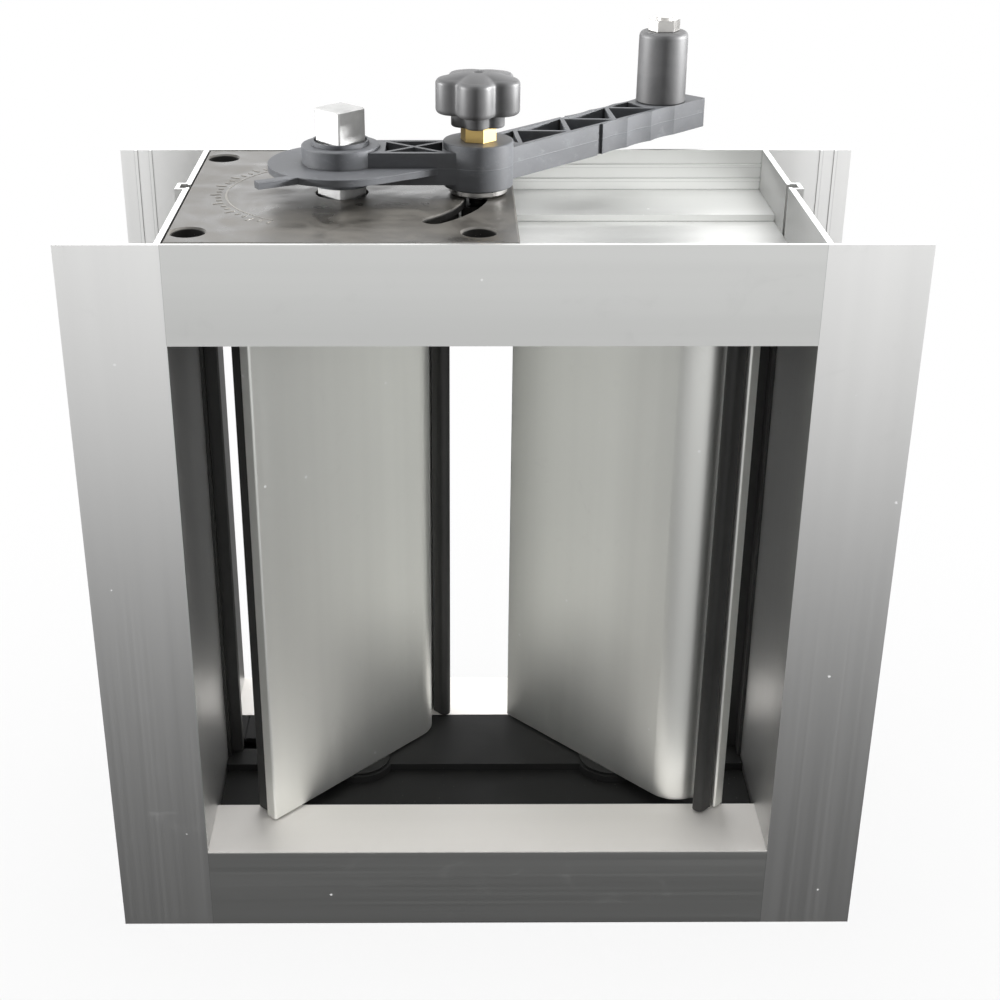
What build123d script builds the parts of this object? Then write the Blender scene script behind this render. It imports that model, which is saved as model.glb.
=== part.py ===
from build123d import *
from math import acos, atan, cos, degrees, pi, radians, sin, tan
import os

# Opposed blade damper with a hand quadrant. Lengths are in millimetres and angles in degrees.
# The origin is the middle of the duct opening. The air flows along Y, and +Z is up.

os.makedirs("parts", exist_ok=True)

# Frame
opening_width = 205.0
opening_height = 197.0
frame_depth = 120.0
flange_height = 33.0
flange_wall = 1.5
ledge_wall = 1.5
web_wall = 2.0
flange_rib_height = 0.6
flange_rib_width = 1.0
flange_rib_depths = (21.9, 27.2)

# Trough and screw ports in the top and bottom members
trough_gear_room = 3.2
trough_depth = 14.0
trough_wall = 1.5
shoulder_depth = 18.0
shoulder_wall = 1.5
shoulder_gap = 50.0
port_wall_offset = 6.9
port_depth = 5.0
port_radius = 4.2
corner_screw_radius = 2.1
corner_screw_length = 16.0
corner_head_radius = 4.2
corner_head_height = 2.6

# Seal strips in the side members
strip_groove_offset = 8.2
strip_groove_mouth = 3.6
strip_groove_width = 5.2
strip_groove_depth = 3.5
strip_groove_lip = 1.2
strip_groove_wall = 1.4
strip_fit = 0.1
strip_base_start = 1.5
strip_base_end = 13.4
strip_base_height = 1.2
strip_lip_height = 5.6
strip_lip_width = 4.0

# Blades
blade_side_room = 2.5
blade_open_angle = 46.0
blade_overlap = 0.3
blade_end_gap = 0.8
blade_wall = 1.6
lip_thickness = 5.1
lip_length = 6.7
lip_tip_radius = 0.8
shoulder_turn = 68.0
shoulder_radius = 12.3
stiffener_inset = 1.3
stiffener_width = 1.2

# Blade seals
seal_width = 4.6
seal_height = 6.2
seal_inset = 1.5
seal_stand = 0.8
seal_wall = 1.1
seal_corner_radius = 1.9
seal_slot_width = 2.2
seal_barb_width = 3.4
seal_barb_height = 1.2
seal_neck_height = 2.3
strip_seal_gap = 0.5

# Drive shaft and blade hubs
shaft_side = 12.0
shaft_corner_radius = 0.7
shaft_fit = 0.1
shaft_stub_length = 60.0
shaft_top_height = 28.7
hub_flange_radius = 12.0
hub_flange_height = 0.5
journal_radius = 10.0
running_fit = 0.05
peg_length = 30.0
peg_chamfer = 0.5
shaft_end_chamfer = 0.5
top_journal_depth = 8.0

# Trough covers
cover_side_gap = 0.3
cover_wall = 2.0
cover_recess_depth = 3.0
cover_step_offset = 4.4
cover_skirt_wall = 1.8
cover_pad_radius = 13.3
latch_hole_side = 7.5
latch_hole_inset = 7.7
latch_hole_y = 10.2
cover_seam_inset = 5.2
cover_seam_width = 0.6
cover_seam_depth = 0.6

# Gear train
blade_gear_teeth = 24
idler_teeth = 13
gear_width = 6.0
pressure_angle = 20.0
tooth_addendum = 0.9
tooth_dedendum = 1.25
tooth_backlash = 0.15
gear_lightening_count = 6
gear_lightening_radius = 2.6
gear_lightening_offset = 14.6
idler_boss_radius = 5.0
idler_pin_radius = 3.0
pivot_radius = 4.5
bush_radius = 7.0
bush_flange_radius = 9.0
bush_flange_height = 1.0
thrust_gap = 0.3

# Quadrant base
base_reach = 58.2
base_top_wall = 3.0
base_wall = 2.0
base_side_gap = 0.3
base_edge_radius = 0.8
base_screw_left_inset = 6.5
base_screw_right_inset = 12.5
base_screw_flange_inset = 13.5
well_radius = 5.4
well_wall = 1.0
well_floor = 2.5
well_rim_chamfer = 0.6
base_sleeve_bore = 9.0
base_sleeve_wall = 3.0
slot_width = 8.0
slot_end_margin = 1.0
track_width = 13.0
track_wall = 1.6
track_height = 7.0
base_screw_radius = 2.1
base_screw_length = 11.0
base_screw_head_radius = 4.3
base_screw_head_height = 2.4
screw_recess_radius = 1.6
screw_recess_depth = 1.3
screw_hole_clearance = 0.3
pilot_clearance = 0.05

# Lever
boss_offset = 46.0
crank_angle = 45.6
outer_arm_length = 114.3
inner_arm_width = 18.4
outer_arm_width = 18.0
arm_bottom = 4.9
arm_top = 15.6
arm_wall = 2.0
arm_floor = 2.0
arm_rib = 1.5
boss_radius = 11.8
boss_top = 18.0
rim_radius = 0.5
hub_radius = 13.2
hub_top = 16.6
hub_foot_radius = 10.0
hub_foot_bottom = 3.4
collar_radius = 9.6
collar_top = 18.1
collar_bore_radius = 8.9
collar_bore_depth = 1.5
disc_radius = 24.6
disc_bottom = 8.3
disc_top = 10.6
wing_length = 32.5
finger_reach = 25.8
finger_front = 25.9
finger_length = 16.0
finger_width = 3.4
finger_turn = 28.0
inner_pocket_start = 15.0
inner_pocket_end = 34.0
outer_pocket_start = 13.4
outer_pocket_end_inset = 26.3
outer_pocket_bays = 6
finger_step_start = 54.5
finger_step_pitch = 13.8
finger_step_count = 3
finger_step_depth = 0.8
finger_groove_width = 2.6
finger_groove_depth = 1.0

# Clamp
clamp_bolt_radius = 3.0
clamp_bolt_clearance = 0.3
clamp_bolt_top = 34.0
bolt_head_length = 14.0
bolt_head_height = 4.0
bolt_head_side_gap = 0.8
slide_gap = 0.3
washer_radius = 9.9
washer_height = 2.5
washer_chamfer = 0.6
insert_radius = 6.1
insert_turn = -15.0
insert_height = 13.0
knob_collar_scale = 0.64
knob_collar_edge_radius = 0.8
knob_collar_bottom = 22.8
knob_collar_top = 27.2
knob_top = 40.3
knob_lobes = 5
knob_lobe_radius = 5.6
knob_radius = 14.3
knob_core_radius = 11.0
knob_lobe_turn = 263.0
knob_edge_radius = 1.4
knob_blend_radius = 1.2

# Grip
grip_end_inset = 15.6
grip_base_radius = 9.3
grip_top_radius = 8.9
grip_height = 25.4
grip_edge_radius = 1.6
grip_base_clearance = 0.2
grip_screw_radius = 3.0
grip_nut_across = 10.0
grip_nut_height = 4.0
grip_screw_stand = 0.8
grip_screw_head_radius = 5.5
grip_screw_head_height = 3.0

# Places worked out from the sizes above
half_width = opening_width / 2
half_height = opening_height / 2
half_depth = frame_depth / 2
blade_pitch = half_width - blade_side_room
gear_module = blade_pitch / (blade_gear_teeth + 2 * idler_teeth)
gear_tip_radius = gear_module * (blade_gear_teeth / 2 + tooth_addendum)
trough_width = 2 * (gear_tip_radius + trough_gear_room + cover_skirt_wall + cover_side_gap)
port_offset = trough_width / 2 + trough_wall + port_wall_offset
frame_top = half_height + flange_height
blade_axis = blade_pitch / 2
blade_length = opening_height - 2 * blade_end_gap
blade_top = blade_length / 2
blade_bottom = -blade_length / 2
channel_side = shaft_side + 2 * shaft_fit
blade_half_thickness = channel_side / 2 + blade_wall
blade_half_length = blade_pitch / 2 + blade_overlap
lip_inner = blade_half_thickness - lip_thickness
lip_start = blade_half_length - lip_length
shoulder_drop = blade_half_thickness + lip_inner
lip_radius = shoulder_drop / (1 - cos(radians(shoulder_turn))) - shoulder_radius
shoulder_start = lip_start - (shoulder_radius + lip_radius) * sin(radians(shoulder_turn))
stiffener_offset = shoulder_start - stiffener_inset
seal_centre = blade_half_length - seal_inset - seal_width / 2
seal_tip = lip_inner - seal_stand - seal_height
trough_floor = half_height + trough_depth
trough_outside = trough_floor + trough_wall
shoulder_top = half_height + shoulder_depth
quadrant_height = flange_height - shoulder_depth
gear_top = trough_depth - bush_flange_height - thrust_gap - gear_width
gear_bottom = trough_depth - bush_flange_height - thrust_gap
idler_axis = blade_axis - gear_module * (blade_gear_teeth + idler_teeth) / 2
cover_recess_floor = cover_recess_depth + cover_wall
slot_limit = blade_open_angle + slot_end_margin
crank = radians(crank_angle)
boss_bottom = slide_gap + washer_height
boss_x = -blade_axis + boss_offset
outer_pocket_end = outer_arm_length - outer_pocket_end_inset
grip_offset = outer_arm_length - grip_end_inset
grip_x = boss_x + grip_offset * cos(crank)
grip_y = grip_offset * sin(crank)


def bar(near, far, inner, outer):
    """Draw a rectangle of a section, from near to far across and from inner to outer in depth."""
    with Locations(((near + far) / 2, (inner + outer) / 2)):
        Rectangle(far - near, outer - inner)


def full_circle(edge):
    """Tell whether an edge is a whole circle."""
    return edge.geom_type == GeomType.CIRCLE and edge.is_closed


def draw_flanges():
    """Draw the two flanges that every member has, with the small ribs on their inner faces."""
    for side in (-1, 1):
        bar(side * (half_depth - flange_wall / 2) - flange_wall / 2,
            side * (half_depth - flange_wall / 2) + flange_wall / 2, 0, flange_height)
        for depth in flange_rib_depths:
            with Locations((side * (half_depth - flange_wall), depth)):
                Rectangle(2 * flange_rib_height, flange_rib_width)


def draw_trough_section():
    """Draw the section of the top and bottom members: Y across, depth from the air side up."""
    draw_flanges()
    wall_inside = trough_width / 2
    wall_outside = trough_width / 2 + trough_wall
    bar(-wall_outside, wall_outside, trough_depth, trough_depth + trough_wall)
    for side in (-1, 1):
        bar(*sorted((side * wall_inside, side * half_depth)), 0, ledge_wall)
        bar(*sorted((side * wall_inside, side * wall_outside)), 0, shoulder_depth)
        bar(*sorted((side * shoulder_gap / 2, side * wall_outside)), trough_depth, shoulder_depth)
        bar(*sorted((side * shoulder_gap / 2, side * half_depth)),
            shoulder_depth - shoulder_wall, shoulder_depth)
        with Locations((side * port_offset, port_depth)):
            Circle(port_radius)
            Circle(corner_screw_radius + pilot_clearance, mode=Mode.SUBTRACT)


def draw_side_section():
    """Draw the section of the side members: a flat web with the groove for the seal strip."""
    draw_flanges()
    bar(-half_depth, half_depth, 0, web_wall)
    housing = strip_groove_width / 2 + strip_groove_wall
    bar(strip_groove_offset - housing, strip_groove_offset + housing,
        0, strip_groove_depth + strip_groove_wall)
    with Locations((strip_groove_offset, 0)):
        Rectangle(strip_groove_mouth, 2 * web_wall, mode=Mode.SUBTRACT)
    with Locations((strip_groove_offset, (strip_groove_lip + strip_groove_depth) / 2)):
        Rectangle(strip_groove_width, strip_groove_depth - strip_groove_lip, mode=Mode.SUBTRACT)


def involute(radius, base_radius):
    """The involute function at a radius, zero inside the base circle."""
    pressure = acos(min(1, base_radius / radius))
    return tan(pressure) - pressure


def draw_gear(teeth, turn):
    """Draw a spur gear whose first tooth points at the angle turn."""
    pitch_radius = gear_module * teeth / 2
    base_radius = pitch_radius * cos(radians(pressure_angle))
    tip_radius = pitch_radius + tooth_addendum * gear_module
    root_radius = pitch_radius - tooth_dedendum * gear_module
    flank_start = max(base_radius, root_radius)
    half_tooth = pi / (2 * teeth) - tooth_backlash / (2 * pitch_radius)

    def flank_point(radius, side):
        angle = half_tooth + involute(pitch_radius, base_radius) - involute(radius, base_radius)
        return radius * cos(angle), side * radius * sin(angle)

    def root_point(side):
        angle = half_tooth + involute(pitch_radius, base_radius)
        inside = root_radius - gear_module / 4
        return inside * cos(angle), side * inside * sin(angle)

    with BuildSketch(mode=Mode.PRIVATE) as tooth:
        with BuildLine():
            for side in (-1, 1):
                ThreePointArc(flank_point(flank_start, side),
                              flank_point((flank_start + tip_radius) / 2, side),
                              flank_point(tip_radius, side))
                Line(flank_point(flank_start, side), root_point(side))
            Line(flank_point(tip_radius, -1), flank_point(tip_radius, 1))
            Line(root_point(-1), root_point(1))
        make_face()
    Circle(root_radius)
    with PolarLocations(0, teeth, start_angle=turn):
        add(tooth.sketch)


def arc_line(radius):
    """The centre line of an arc about the drive shaft, from one end of the lever's swing to the other."""
    return Edge.make_circle(radius, start_angle=-slot_limit, end_angle=slot_limit)


# Planes of the members: local X runs along Y, local Y is the depth from the air side
left_plane = Plane((-half_width, 0, -frame_top), x_dir=(0, 1, 0), z_dir=(0, 0, 1))
right_plane = Plane((half_width, 0, frame_top), x_dir=(0, 1, 0), z_dir=(0, 0, -1))
top_plane = Plane((-half_width, 0, half_height), x_dir=(0, 1, 0), z_dir=(1, 0, 0))
bottom_plane = Plane((half_width, 0, -half_height), x_dir=(0, 1, 0), z_dir=(-1, 0, 0))

# Screw places on a side web: two ports in the top member and two in the bottom one
port_heights = half_height + port_depth
screw_places = [(side * port_offset, level * port_heights) for side in (-1, 1) for level in (-1, 1)]

with BuildPart() as frame_left:
    with BuildSketch(left_plane):
        draw_side_section()
    extrude(amount=2 * frame_top)
    with BuildSketch(Plane.YZ.offset(-half_width)):
        with Locations(*screw_places):
            Circle(corner_screw_radius + screw_hole_clearance)
    extrude(amount=web_wall, both=True, mode=Mode.SUBTRACT)
frame_left.part.label = "frame_left"
export_step(frame_left.part, "parts/frame_left.step")

with BuildPart() as frame_right:
    with BuildSketch(right_plane):
        draw_side_section()
    extrude(amount=2 * frame_top)
    with BuildSketch(Plane.YZ.offset(half_width)):
        with Locations(*screw_places):
            Circle(corner_screw_radius + screw_hole_clearance)
    extrude(amount=web_wall, both=True, mode=Mode.SUBTRACT)
frame_right.part.label = "frame_right"
export_step(frame_right.part, "parts/frame_right.step")

# The quadrant base fills the left end between the flanges, with a screw near each corner
base_left = -half_width + base_side_gap
base_right = -blade_axis + base_reach
base_screw_columns = (base_left + base_screw_left_inset, base_right - base_screw_right_inset)
base_screw_rows = (base_screw_flange_inset - half_depth, half_depth - base_screw_flange_inset)
base_screw_places = [(column, row) for column in base_screw_columns for row in base_screw_rows]

with BuildPart() as frame_top_member:
    with BuildSketch(top_plane):
        draw_trough_section()
    extrude(amount=opening_width)
    with BuildSketch(Plane((-blade_axis, 0, trough_floor))):
        Circle(base_sleeve_bore)
    extrude(amount=shoulder_depth, mode=Mode.SUBTRACT)
    with BuildSketch(Plane.XY.offset(shoulder_top)):
        with Locations(*base_screw_places):
            Circle(base_screw_radius + pilot_clearance)
    extrude(amount=-base_screw_length, mode=Mode.SUBTRACT)
frame_top_member.part.label = "frame_top"
export_step(frame_top_member.part, "parts/frame_top.step")

with BuildPart() as frame_bottom_member:
    with BuildSketch(bottom_plane):
        draw_trough_section()
    extrude(amount=opening_width)
    with BuildSketch(Plane.XY.offset(-trough_outside)):
        with Locations((-blade_axis, 0), (blade_axis, 0)):
            Circle(bush_radius + pilot_clearance)
        with Locations((-idler_axis, 0), (idler_axis, 0)):
            Circle(idler_pin_radius + pilot_clearance)
    extrude(amount=trough_wall, mode=Mode.SUBTRACT)
frame_bottom_member.part.label = "frame_bottom"
export_step(frame_bottom_member.part, "parts/frame_bottom.step")

with BuildPart() as corner_screws:
    for side in (-1, 1):
        head_plane = Plane((side * (half_width + web_wall), 0, 0), x_dir=(0, side, 0), z_dir=(side, 0, 0))
        with BuildSketch(head_plane):
            with Locations(*screw_places):
                Circle(corner_head_radius)
        extrude(amount=corner_head_height)
        with BuildSketch(head_plane):
            with Locations(*screw_places):
                Circle(corner_screw_radius)
        extrude(amount=-corner_screw_length)
        with BuildSketch(head_plane.offset(corner_head_height)):
            with Locations(*screw_places):
                RegularPolygon(screw_recess_radius, 6)
        extrude(amount=-screw_recess_depth, mode=Mode.SUBTRACT)
corner_screws.part.label = "corner_screws"
export_step(corner_screws.part, "parts/corner_screws.step")


def draw_strip_section(lip_front):
    """Draw a seal strip: barb in the groove, thin base on the web, lip standing into the air."""
    bar(strip_base_start, strip_base_end, -strip_base_height, 0)
    bar(lip_front, lip_front + strip_lip_width, -strip_lip_height, 0)
    barb_start = strip_groove_lip + strip_fit
    barb_end = strip_groove_depth - strip_fit
    with Locations((strip_groove_offset, barb_end / 2)):
        Rectangle(strip_groove_mouth - 2 * strip_fit, barb_end)
    with Locations((strip_groove_offset, (barb_start + barb_end) / 2)):
        Rectangle(strip_groove_width - 2 * strip_fit, barb_end - barb_start)


# On the left the blade comes home with its seal in front, on the right with its lip in front
left_lip_front = -seal_tip + strip_seal_gap
right_lip_front = blade_half_thickness + strip_seal_gap

with BuildPart() as side_seal_left:
    with BuildSketch(Plane((-half_width, 0, -half_height), x_dir=(0, 1, 0), z_dir=(0, 0, 1))):
        draw_strip_section(left_lip_front)
    extrude(amount=opening_height)
side_seal_left.part.label = "side_seal_left"
export_step(side_seal_left.part, "parts/side_seal_left.step")

with BuildPart() as side_seal_right:
    with BuildSketch(Plane((half_width, 0, half_height), x_dir=(0, 1, 0), z_dir=(0, 0, -1))):
        draw_strip_section(right_lip_front)
    extrude(amount=opening_height)
side_seal_right.part.label = "side_seal_right"
export_step(side_seal_right.part, "parts/side_seal_right.step")


# Blade: a hollow extrusion, the same turned half round, with a square channel for the shaft
with BuildSketch() as blade_outline:
    with BuildLine():
        for side in (-1, 1):
            face = Line((-side * shoulder_start, -side * blade_half_thickness),
                        (side * shoulder_start, -side * blade_half_thickness))
            bend = JernArc(face @ 1, (side, 0), shoulder_radius, shoulder_turn)
            return_bend = JernArc(bend @ 1, bend % 1, lip_radius, -shoulder_turn)
            Polyline(return_bend @ 1,
                     (side * blade_half_length, side * lip_inner),
                     (side * blade_half_length, side * blade_half_thickness),
                     (side * shoulder_start, side * blade_half_thickness))
    make_face()
    tips = blade_outline.vertices().group_by(lambda corner: round(abs(corner.X), 3))[-1]
    fillet(tips, lip_tip_radius)

with BuildSketch() as blade_profile:
    add(blade_outline.sketch)
    offset(blade_outline.sketch, amount=-blade_wall, kind=Kind.INTERSECTION, mode=Mode.SUBTRACT)
    for side in (-1, 1):
        with Locations((side * (channel_side + blade_wall) / 2, 0)):
            Rectangle(blade_wall, channel_side + blade_wall)
        with Locations((side * stiffener_offset, 0)):
            Rectangle(stiffener_width, channel_side + blade_wall)
        with Locations((side * seal_centre, side * (lip_inner + blade_wall / 2))):
            Rectangle(seal_slot_width, 2 * blade_wall, mode=Mode.SUBTRACT)


def blade_plane(side, height):
    """The level plane at a blade's axis, with local X along the chord of the open blade."""
    turn = radians(blade_open_angle)
    return Plane((side * blade_axis, 0, height), x_dir=(cos(turn), -side * sin(turn), 0), z_dir=(0, 0, 1))


def shape_blade(side):
    """Extrude a blade on its axis."""
    with BuildSketch(blade_plane(side, blade_bottom)) as outline:
        add(blade_profile.sketch)
    extrude(outline.sketch, amount=blade_length)


def shape_blade_seals(side):
    """Extrude the two bulb seals of a blade, each with its neck and barb in the lip's slot."""
    with BuildSketch(blade_plane(side, blade_bottom)) as outline:
        for end in (-1, 1):
            with Locations((end * seal_centre, end * (seal_tip + seal_height / 2))):
                bulb = Rectangle(seal_width, seal_height)
                bulb_tip = bulb.vertices().group_by(Axis.Y)[0 if end > 0 else -1]
                fillet(bulb_tip, seal_corner_radius)
                RectangleRounded(seal_width - 2 * seal_wall, seal_height - 2 * seal_wall,
                                 seal_corner_radius - seal_wall, mode=Mode.SUBTRACT)
            with Locations((end * seal_centre, end * (lip_inner + (seal_neck_height - seal_stand) / 2))):
                Rectangle(seal_slot_width - 2 * strip_fit, seal_neck_height + seal_stand)
            with Locations((end * seal_centre, end * (lip_inner + seal_neck_height))):
                Rectangle(seal_barb_width, seal_barb_height)
    extrude(outline.sketch, amount=blade_length)


def shape_hub_flange(side, level):
    """Add a hub's flange beyond the blade end, above for level 1 and below for level -1."""
    with BuildSketch(blade_plane(side, level * blade_top)) as outline:
        Circle(hub_flange_radius)
    extrude(outline.sketch, amount=level * hub_flange_height)


def shape_hub_journal(side, level, depth):
    """Add the round journal that turns in the cover, to a depth behind the ledges."""
    with BuildSketch(blade_plane(side, level * blade_top)) as outline:
        Circle(journal_radius)
    extrude(outline.sketch, amount=level * (half_height + depth - blade_top))


def shape_hub_peg(side, level):
    """Add the square peg that fills the end of the blade's channel."""
    with BuildSketch(blade_plane(side, level * blade_top)) as outline:
        RectangleRounded(shaft_side, shaft_side, shaft_corner_radius)
    peg = extrude(outline.sketch, amount=-level * peg_length)
    peg_end = peg.faces().sort_by(Axis.Z)[-1 if level < 0 else 0]
    chamfer(peg_end.edges(), peg_chamfer)


def shape_bottom_hub(side):
    """A bottom hub: peg, flange and journal, a square for the gear, and the pivot in its bush."""
    shape_hub_peg(side, -1)
    shape_hub_flange(side, -1)
    shape_hub_journal(side, -1, gear_top)
    with BuildSketch(blade_plane(side, -half_height - gear_top)) as outline:
        RectangleRounded(shaft_side, shaft_side, shaft_corner_radius)
    extrude(outline.sketch, amount=-gear_width)
    with BuildSketch(blade_plane(side, -half_height - gear_bottom)) as outline:
        Circle(pivot_radius)
    extrude(outline.sketch, amount=gear_bottom - trough_depth - trough_wall)


def shape_blade_gear(side, turn):
    """A blade gear, its first tooth at the angle turn, with a square bore and lightening holes."""
    plane_turn = -side * blade_open_angle
    with BuildSketch(blade_plane(side, -half_height - gear_bottom)) as outline:
        draw_gear(blade_gear_teeth, turn - plane_turn)
        Rectangle(channel_side, channel_side, mode=Mode.SUBTRACT)
        with PolarLocations(gear_lightening_offset, gear_lightening_count):
            Circle(gear_lightening_radius, mode=Mode.SUBTRACT)
    extrude(outline.sketch, amount=gear_width)


def shape_idler(side):
    """An idler gear on its pin, with a boss that stands on the trough floor."""
    with BuildSketch(Plane((side * idler_axis, 0, -half_height - gear_bottom))) as outline:
        draw_gear(idler_teeth, 0)
    extrude(outline.sketch, amount=gear_width)
    with BuildSketch(Plane((side * idler_axis, 0, -trough_floor + thrust_gap))) as outline:
        Circle(idler_boss_radius)
    extrude(outline.sketch, amount=trough_depth - thrust_gap - gear_bottom)
    with BuildSketch(Plane((side * idler_axis, 0, -trough_floor))) as outline:
        Circle(idler_pin_radius + running_fit)
    extrude(outline.sketch, amount=trough_depth, mode=Mode.SUBTRACT)


with BuildPart() as blade_1:
    shape_blade(-1)
blade_1.part.label = "blade_1"
export_step(blade_1.part, "parts/blade_1.step")

with BuildPart() as blade_2:
    shape_blade(1)
blade_2.part.label = "blade_2"
export_step(blade_2.part, "parts/blade_2.step")

with BuildPart() as blade_seals_1:
    shape_blade_seals(-1)
blade_seals_1.part.label = "blade_seals_1"
export_step(blade_seals_1.part, "parts/blade_seals_1.step")

with BuildPart() as blade_seals_2:
    shape_blade_seals(1)
blade_seals_2.part.label = "blade_seals_2"
export_step(blade_seals_2.part, "parts/blade_seals_2.step")

with BuildPart() as bottom_hub_1:
    shape_bottom_hub(-1)
bottom_hub_1.part.label = "bottom_hub_1"
export_step(bottom_hub_1.part, "parts/bottom_hub_1.step")

with BuildPart() as bottom_hub_2:
    shape_bottom_hub(1)
bottom_hub_2.part.label = "bottom_hub_2"
export_step(bottom_hub_2.part, "parts/bottom_hub_2.step")

with BuildPart() as top_hub_1:
    shape_hub_flange(-1, 1)
    shape_hub_journal(-1, 1, top_journal_depth)
    with BuildSketch(blade_plane(-1, blade_top)):
        Rectangle(channel_side, channel_side)
    extrude(amount=trough_outside, mode=Mode.SUBTRACT)
top_hub_1.part.label = "top_hub_1"
export_step(top_hub_1.part, "parts/top_hub_1.step")

with BuildPart() as top_hub_2:
    shape_hub_peg(1, 1)
    shape_hub_flange(1, 1)
    shape_hub_journal(1, 1, top_journal_depth)
top_hub_2.part.label = "top_hub_2"
export_step(top_hub_2.part, "parts/top_hub_2.step")

with BuildPart() as drive_shaft:
    with BuildSketch(blade_plane(-1, blade_top - shaft_stub_length)):
        RectangleRounded(shaft_side, shaft_side, shaft_corner_radius)
    extrude(amount=frame_top + shaft_top_height - blade_top + shaft_stub_length)
    chamfer(drive_shaft.faces().sort_by(Axis.Z)[-1].edges(), shaft_end_chamfer)
drive_shaft.part.label = "drive_shaft"
export_step(drive_shaft.part, "parts/drive_shaft.step")

# Gear train: a tooth of one gear of each pair faces a gap of the other
with BuildPart() as blade_gear_1:
    shape_blade_gear(-1, 0)
blade_gear_1.part.label = "blade_gear_1"
export_step(blade_gear_1.part, "parts/blade_gear_1.step")

with BuildPart() as blade_gear_2:
    shape_blade_gear(1, 180 / blade_gear_teeth)
blade_gear_2.part.label = "blade_gear_2"
export_step(blade_gear_2.part, "parts/blade_gear_2.step")

with BuildPart() as idler_gear_1:
    shape_idler(-1)
idler_gear_1.part.label = "idler_gear_1"
export_step(idler_gear_1.part, "parts/idler_gear_1.step")

with BuildPart() as idler_gear_2:
    shape_idler(1)
idler_gear_2.part.label = "idler_gear_2"
export_step(idler_gear_2.part, "parts/idler_gear_2.step")

with BuildPart() as idler_pins:
    with BuildSketch(Plane.XY.offset(-trough_outside)):
        with Locations((-idler_axis, 0), (idler_axis, 0)):
            Circle(idler_pin_radius)
    extrude(amount=trough_depth + trough_wall - cover_recess_floor - thrust_gap)
idler_pins.part.label = "idler_pins"
export_step(idler_pins.part, "parts/idler_pins.step")

with BuildPart() as lower_bushes:
    with BuildSketch(Plane.XY.offset(-trough_outside)):
        with Locations((-blade_axis, 0), (blade_axis, 0)):
            Circle(bush_radius)
    extrude(amount=trough_wall)
    with BuildSketch(Plane.XY.offset(-trough_floor)):
        with Locations((-blade_axis, 0), (blade_axis, 0)):
            Circle(bush_flange_radius)
    extrude(amount=bush_flange_height)
    with BuildSketch(Plane.XY.offset(-trough_outside)):
        with Locations((-blade_axis, 0), (blade_axis, 0)):
            Circle(pivot_radius + running_fit)
    extrude(amount=trough_depth, mode=Mode.SUBTRACT)
lower_bushes.part.label = "lower_bushes"
export_step(lower_bushes.part, "parts/lower_bushes.step")

# Trough cover: local X runs along Y and local Y is the depth behind the ledges
cover_length = opening_width - 2 * cover_side_gap
cover_half_depth = trough_width / 2 - cover_side_gap
cover_plane = Plane((cover_length / 2, 0, -half_height), x_dir=(0, 1, 0), z_dir=(-1, 0, 0))

with BuildPart() as gear_cover:
    with BuildSketch(cover_plane):
        bar(-cover_step_offset, cover_half_depth, 0, cover_wall)
        bar(-cover_step_offset, -cover_step_offset + cover_wall, 0, cover_recess_floor)
        bar(-cover_half_depth, -cover_step_offset, cover_recess_depth, cover_recess_floor)
        bar(-cover_half_depth, -cover_half_depth + cover_skirt_wall, cover_recess_depth, trough_depth)
        bar(cover_half_depth - cover_skirt_wall, cover_half_depth, 0, trough_depth)
    extrude(amount=cover_length)
    with BuildSketch(Plane.XY.offset(-half_height)):
        with Locations((-blade_axis, 0), (blade_axis, 0)):
            Circle(cover_pad_radius)
    extrude(amount=-cover_recess_floor)
    with BuildSketch(Plane.XY.offset(-half_height)):
        with Locations((-blade_axis, 0), (blade_axis, 0)):
            Circle(journal_radius + running_fit)
        with Locations((latch_hole_inset - cover_length / 2, latch_hole_y)):
            Rectangle(latch_hole_side, latch_hole_side)
    extrude(amount=-trough_depth, mode=Mode.SUBTRACT)
    with BuildSketch(Plane.XY.offset(-half_height)):
        seam_start = latch_hole_y + latch_hole_side / 2
        with Locations((cover_seam_inset - cover_length / 2, (seam_start + cover_half_depth) / 2)):
            Rectangle(cover_seam_width, cover_half_depth - seam_start)
    extrude(amount=-cover_seam_depth, mode=Mode.SUBTRACT)
gear_cover.part.label = "gear_cover"
export_step(gear_cover.part, "parts/gear_cover.step")

# The top trough has the same cover, turned half round about the direction of the air
with BuildPart() as bearing_cover:
    add(gear_cover.part.rotate(Axis.Y, 180))
bearing_cover.part.label = "bearing_cover"
export_step(bearing_cover.part, "parts/bearing_cover.step")

# Quadrant base: a hollow moulding that stands on the shoulders, its top level with the flanges
base_depth = frame_depth - 2 * (flange_wall + flange_rib_height + base_side_gap)
base_length = base_right - base_left
base_origin = ((base_left + base_right) / 2, 0, shoulder_top)
base_foot_plane = Plane(base_origin)
shoulder_plane = Plane.XY.offset(shoulder_top)
shaft_top_plane = Plane((-blade_axis, 0, frame_top))

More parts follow.
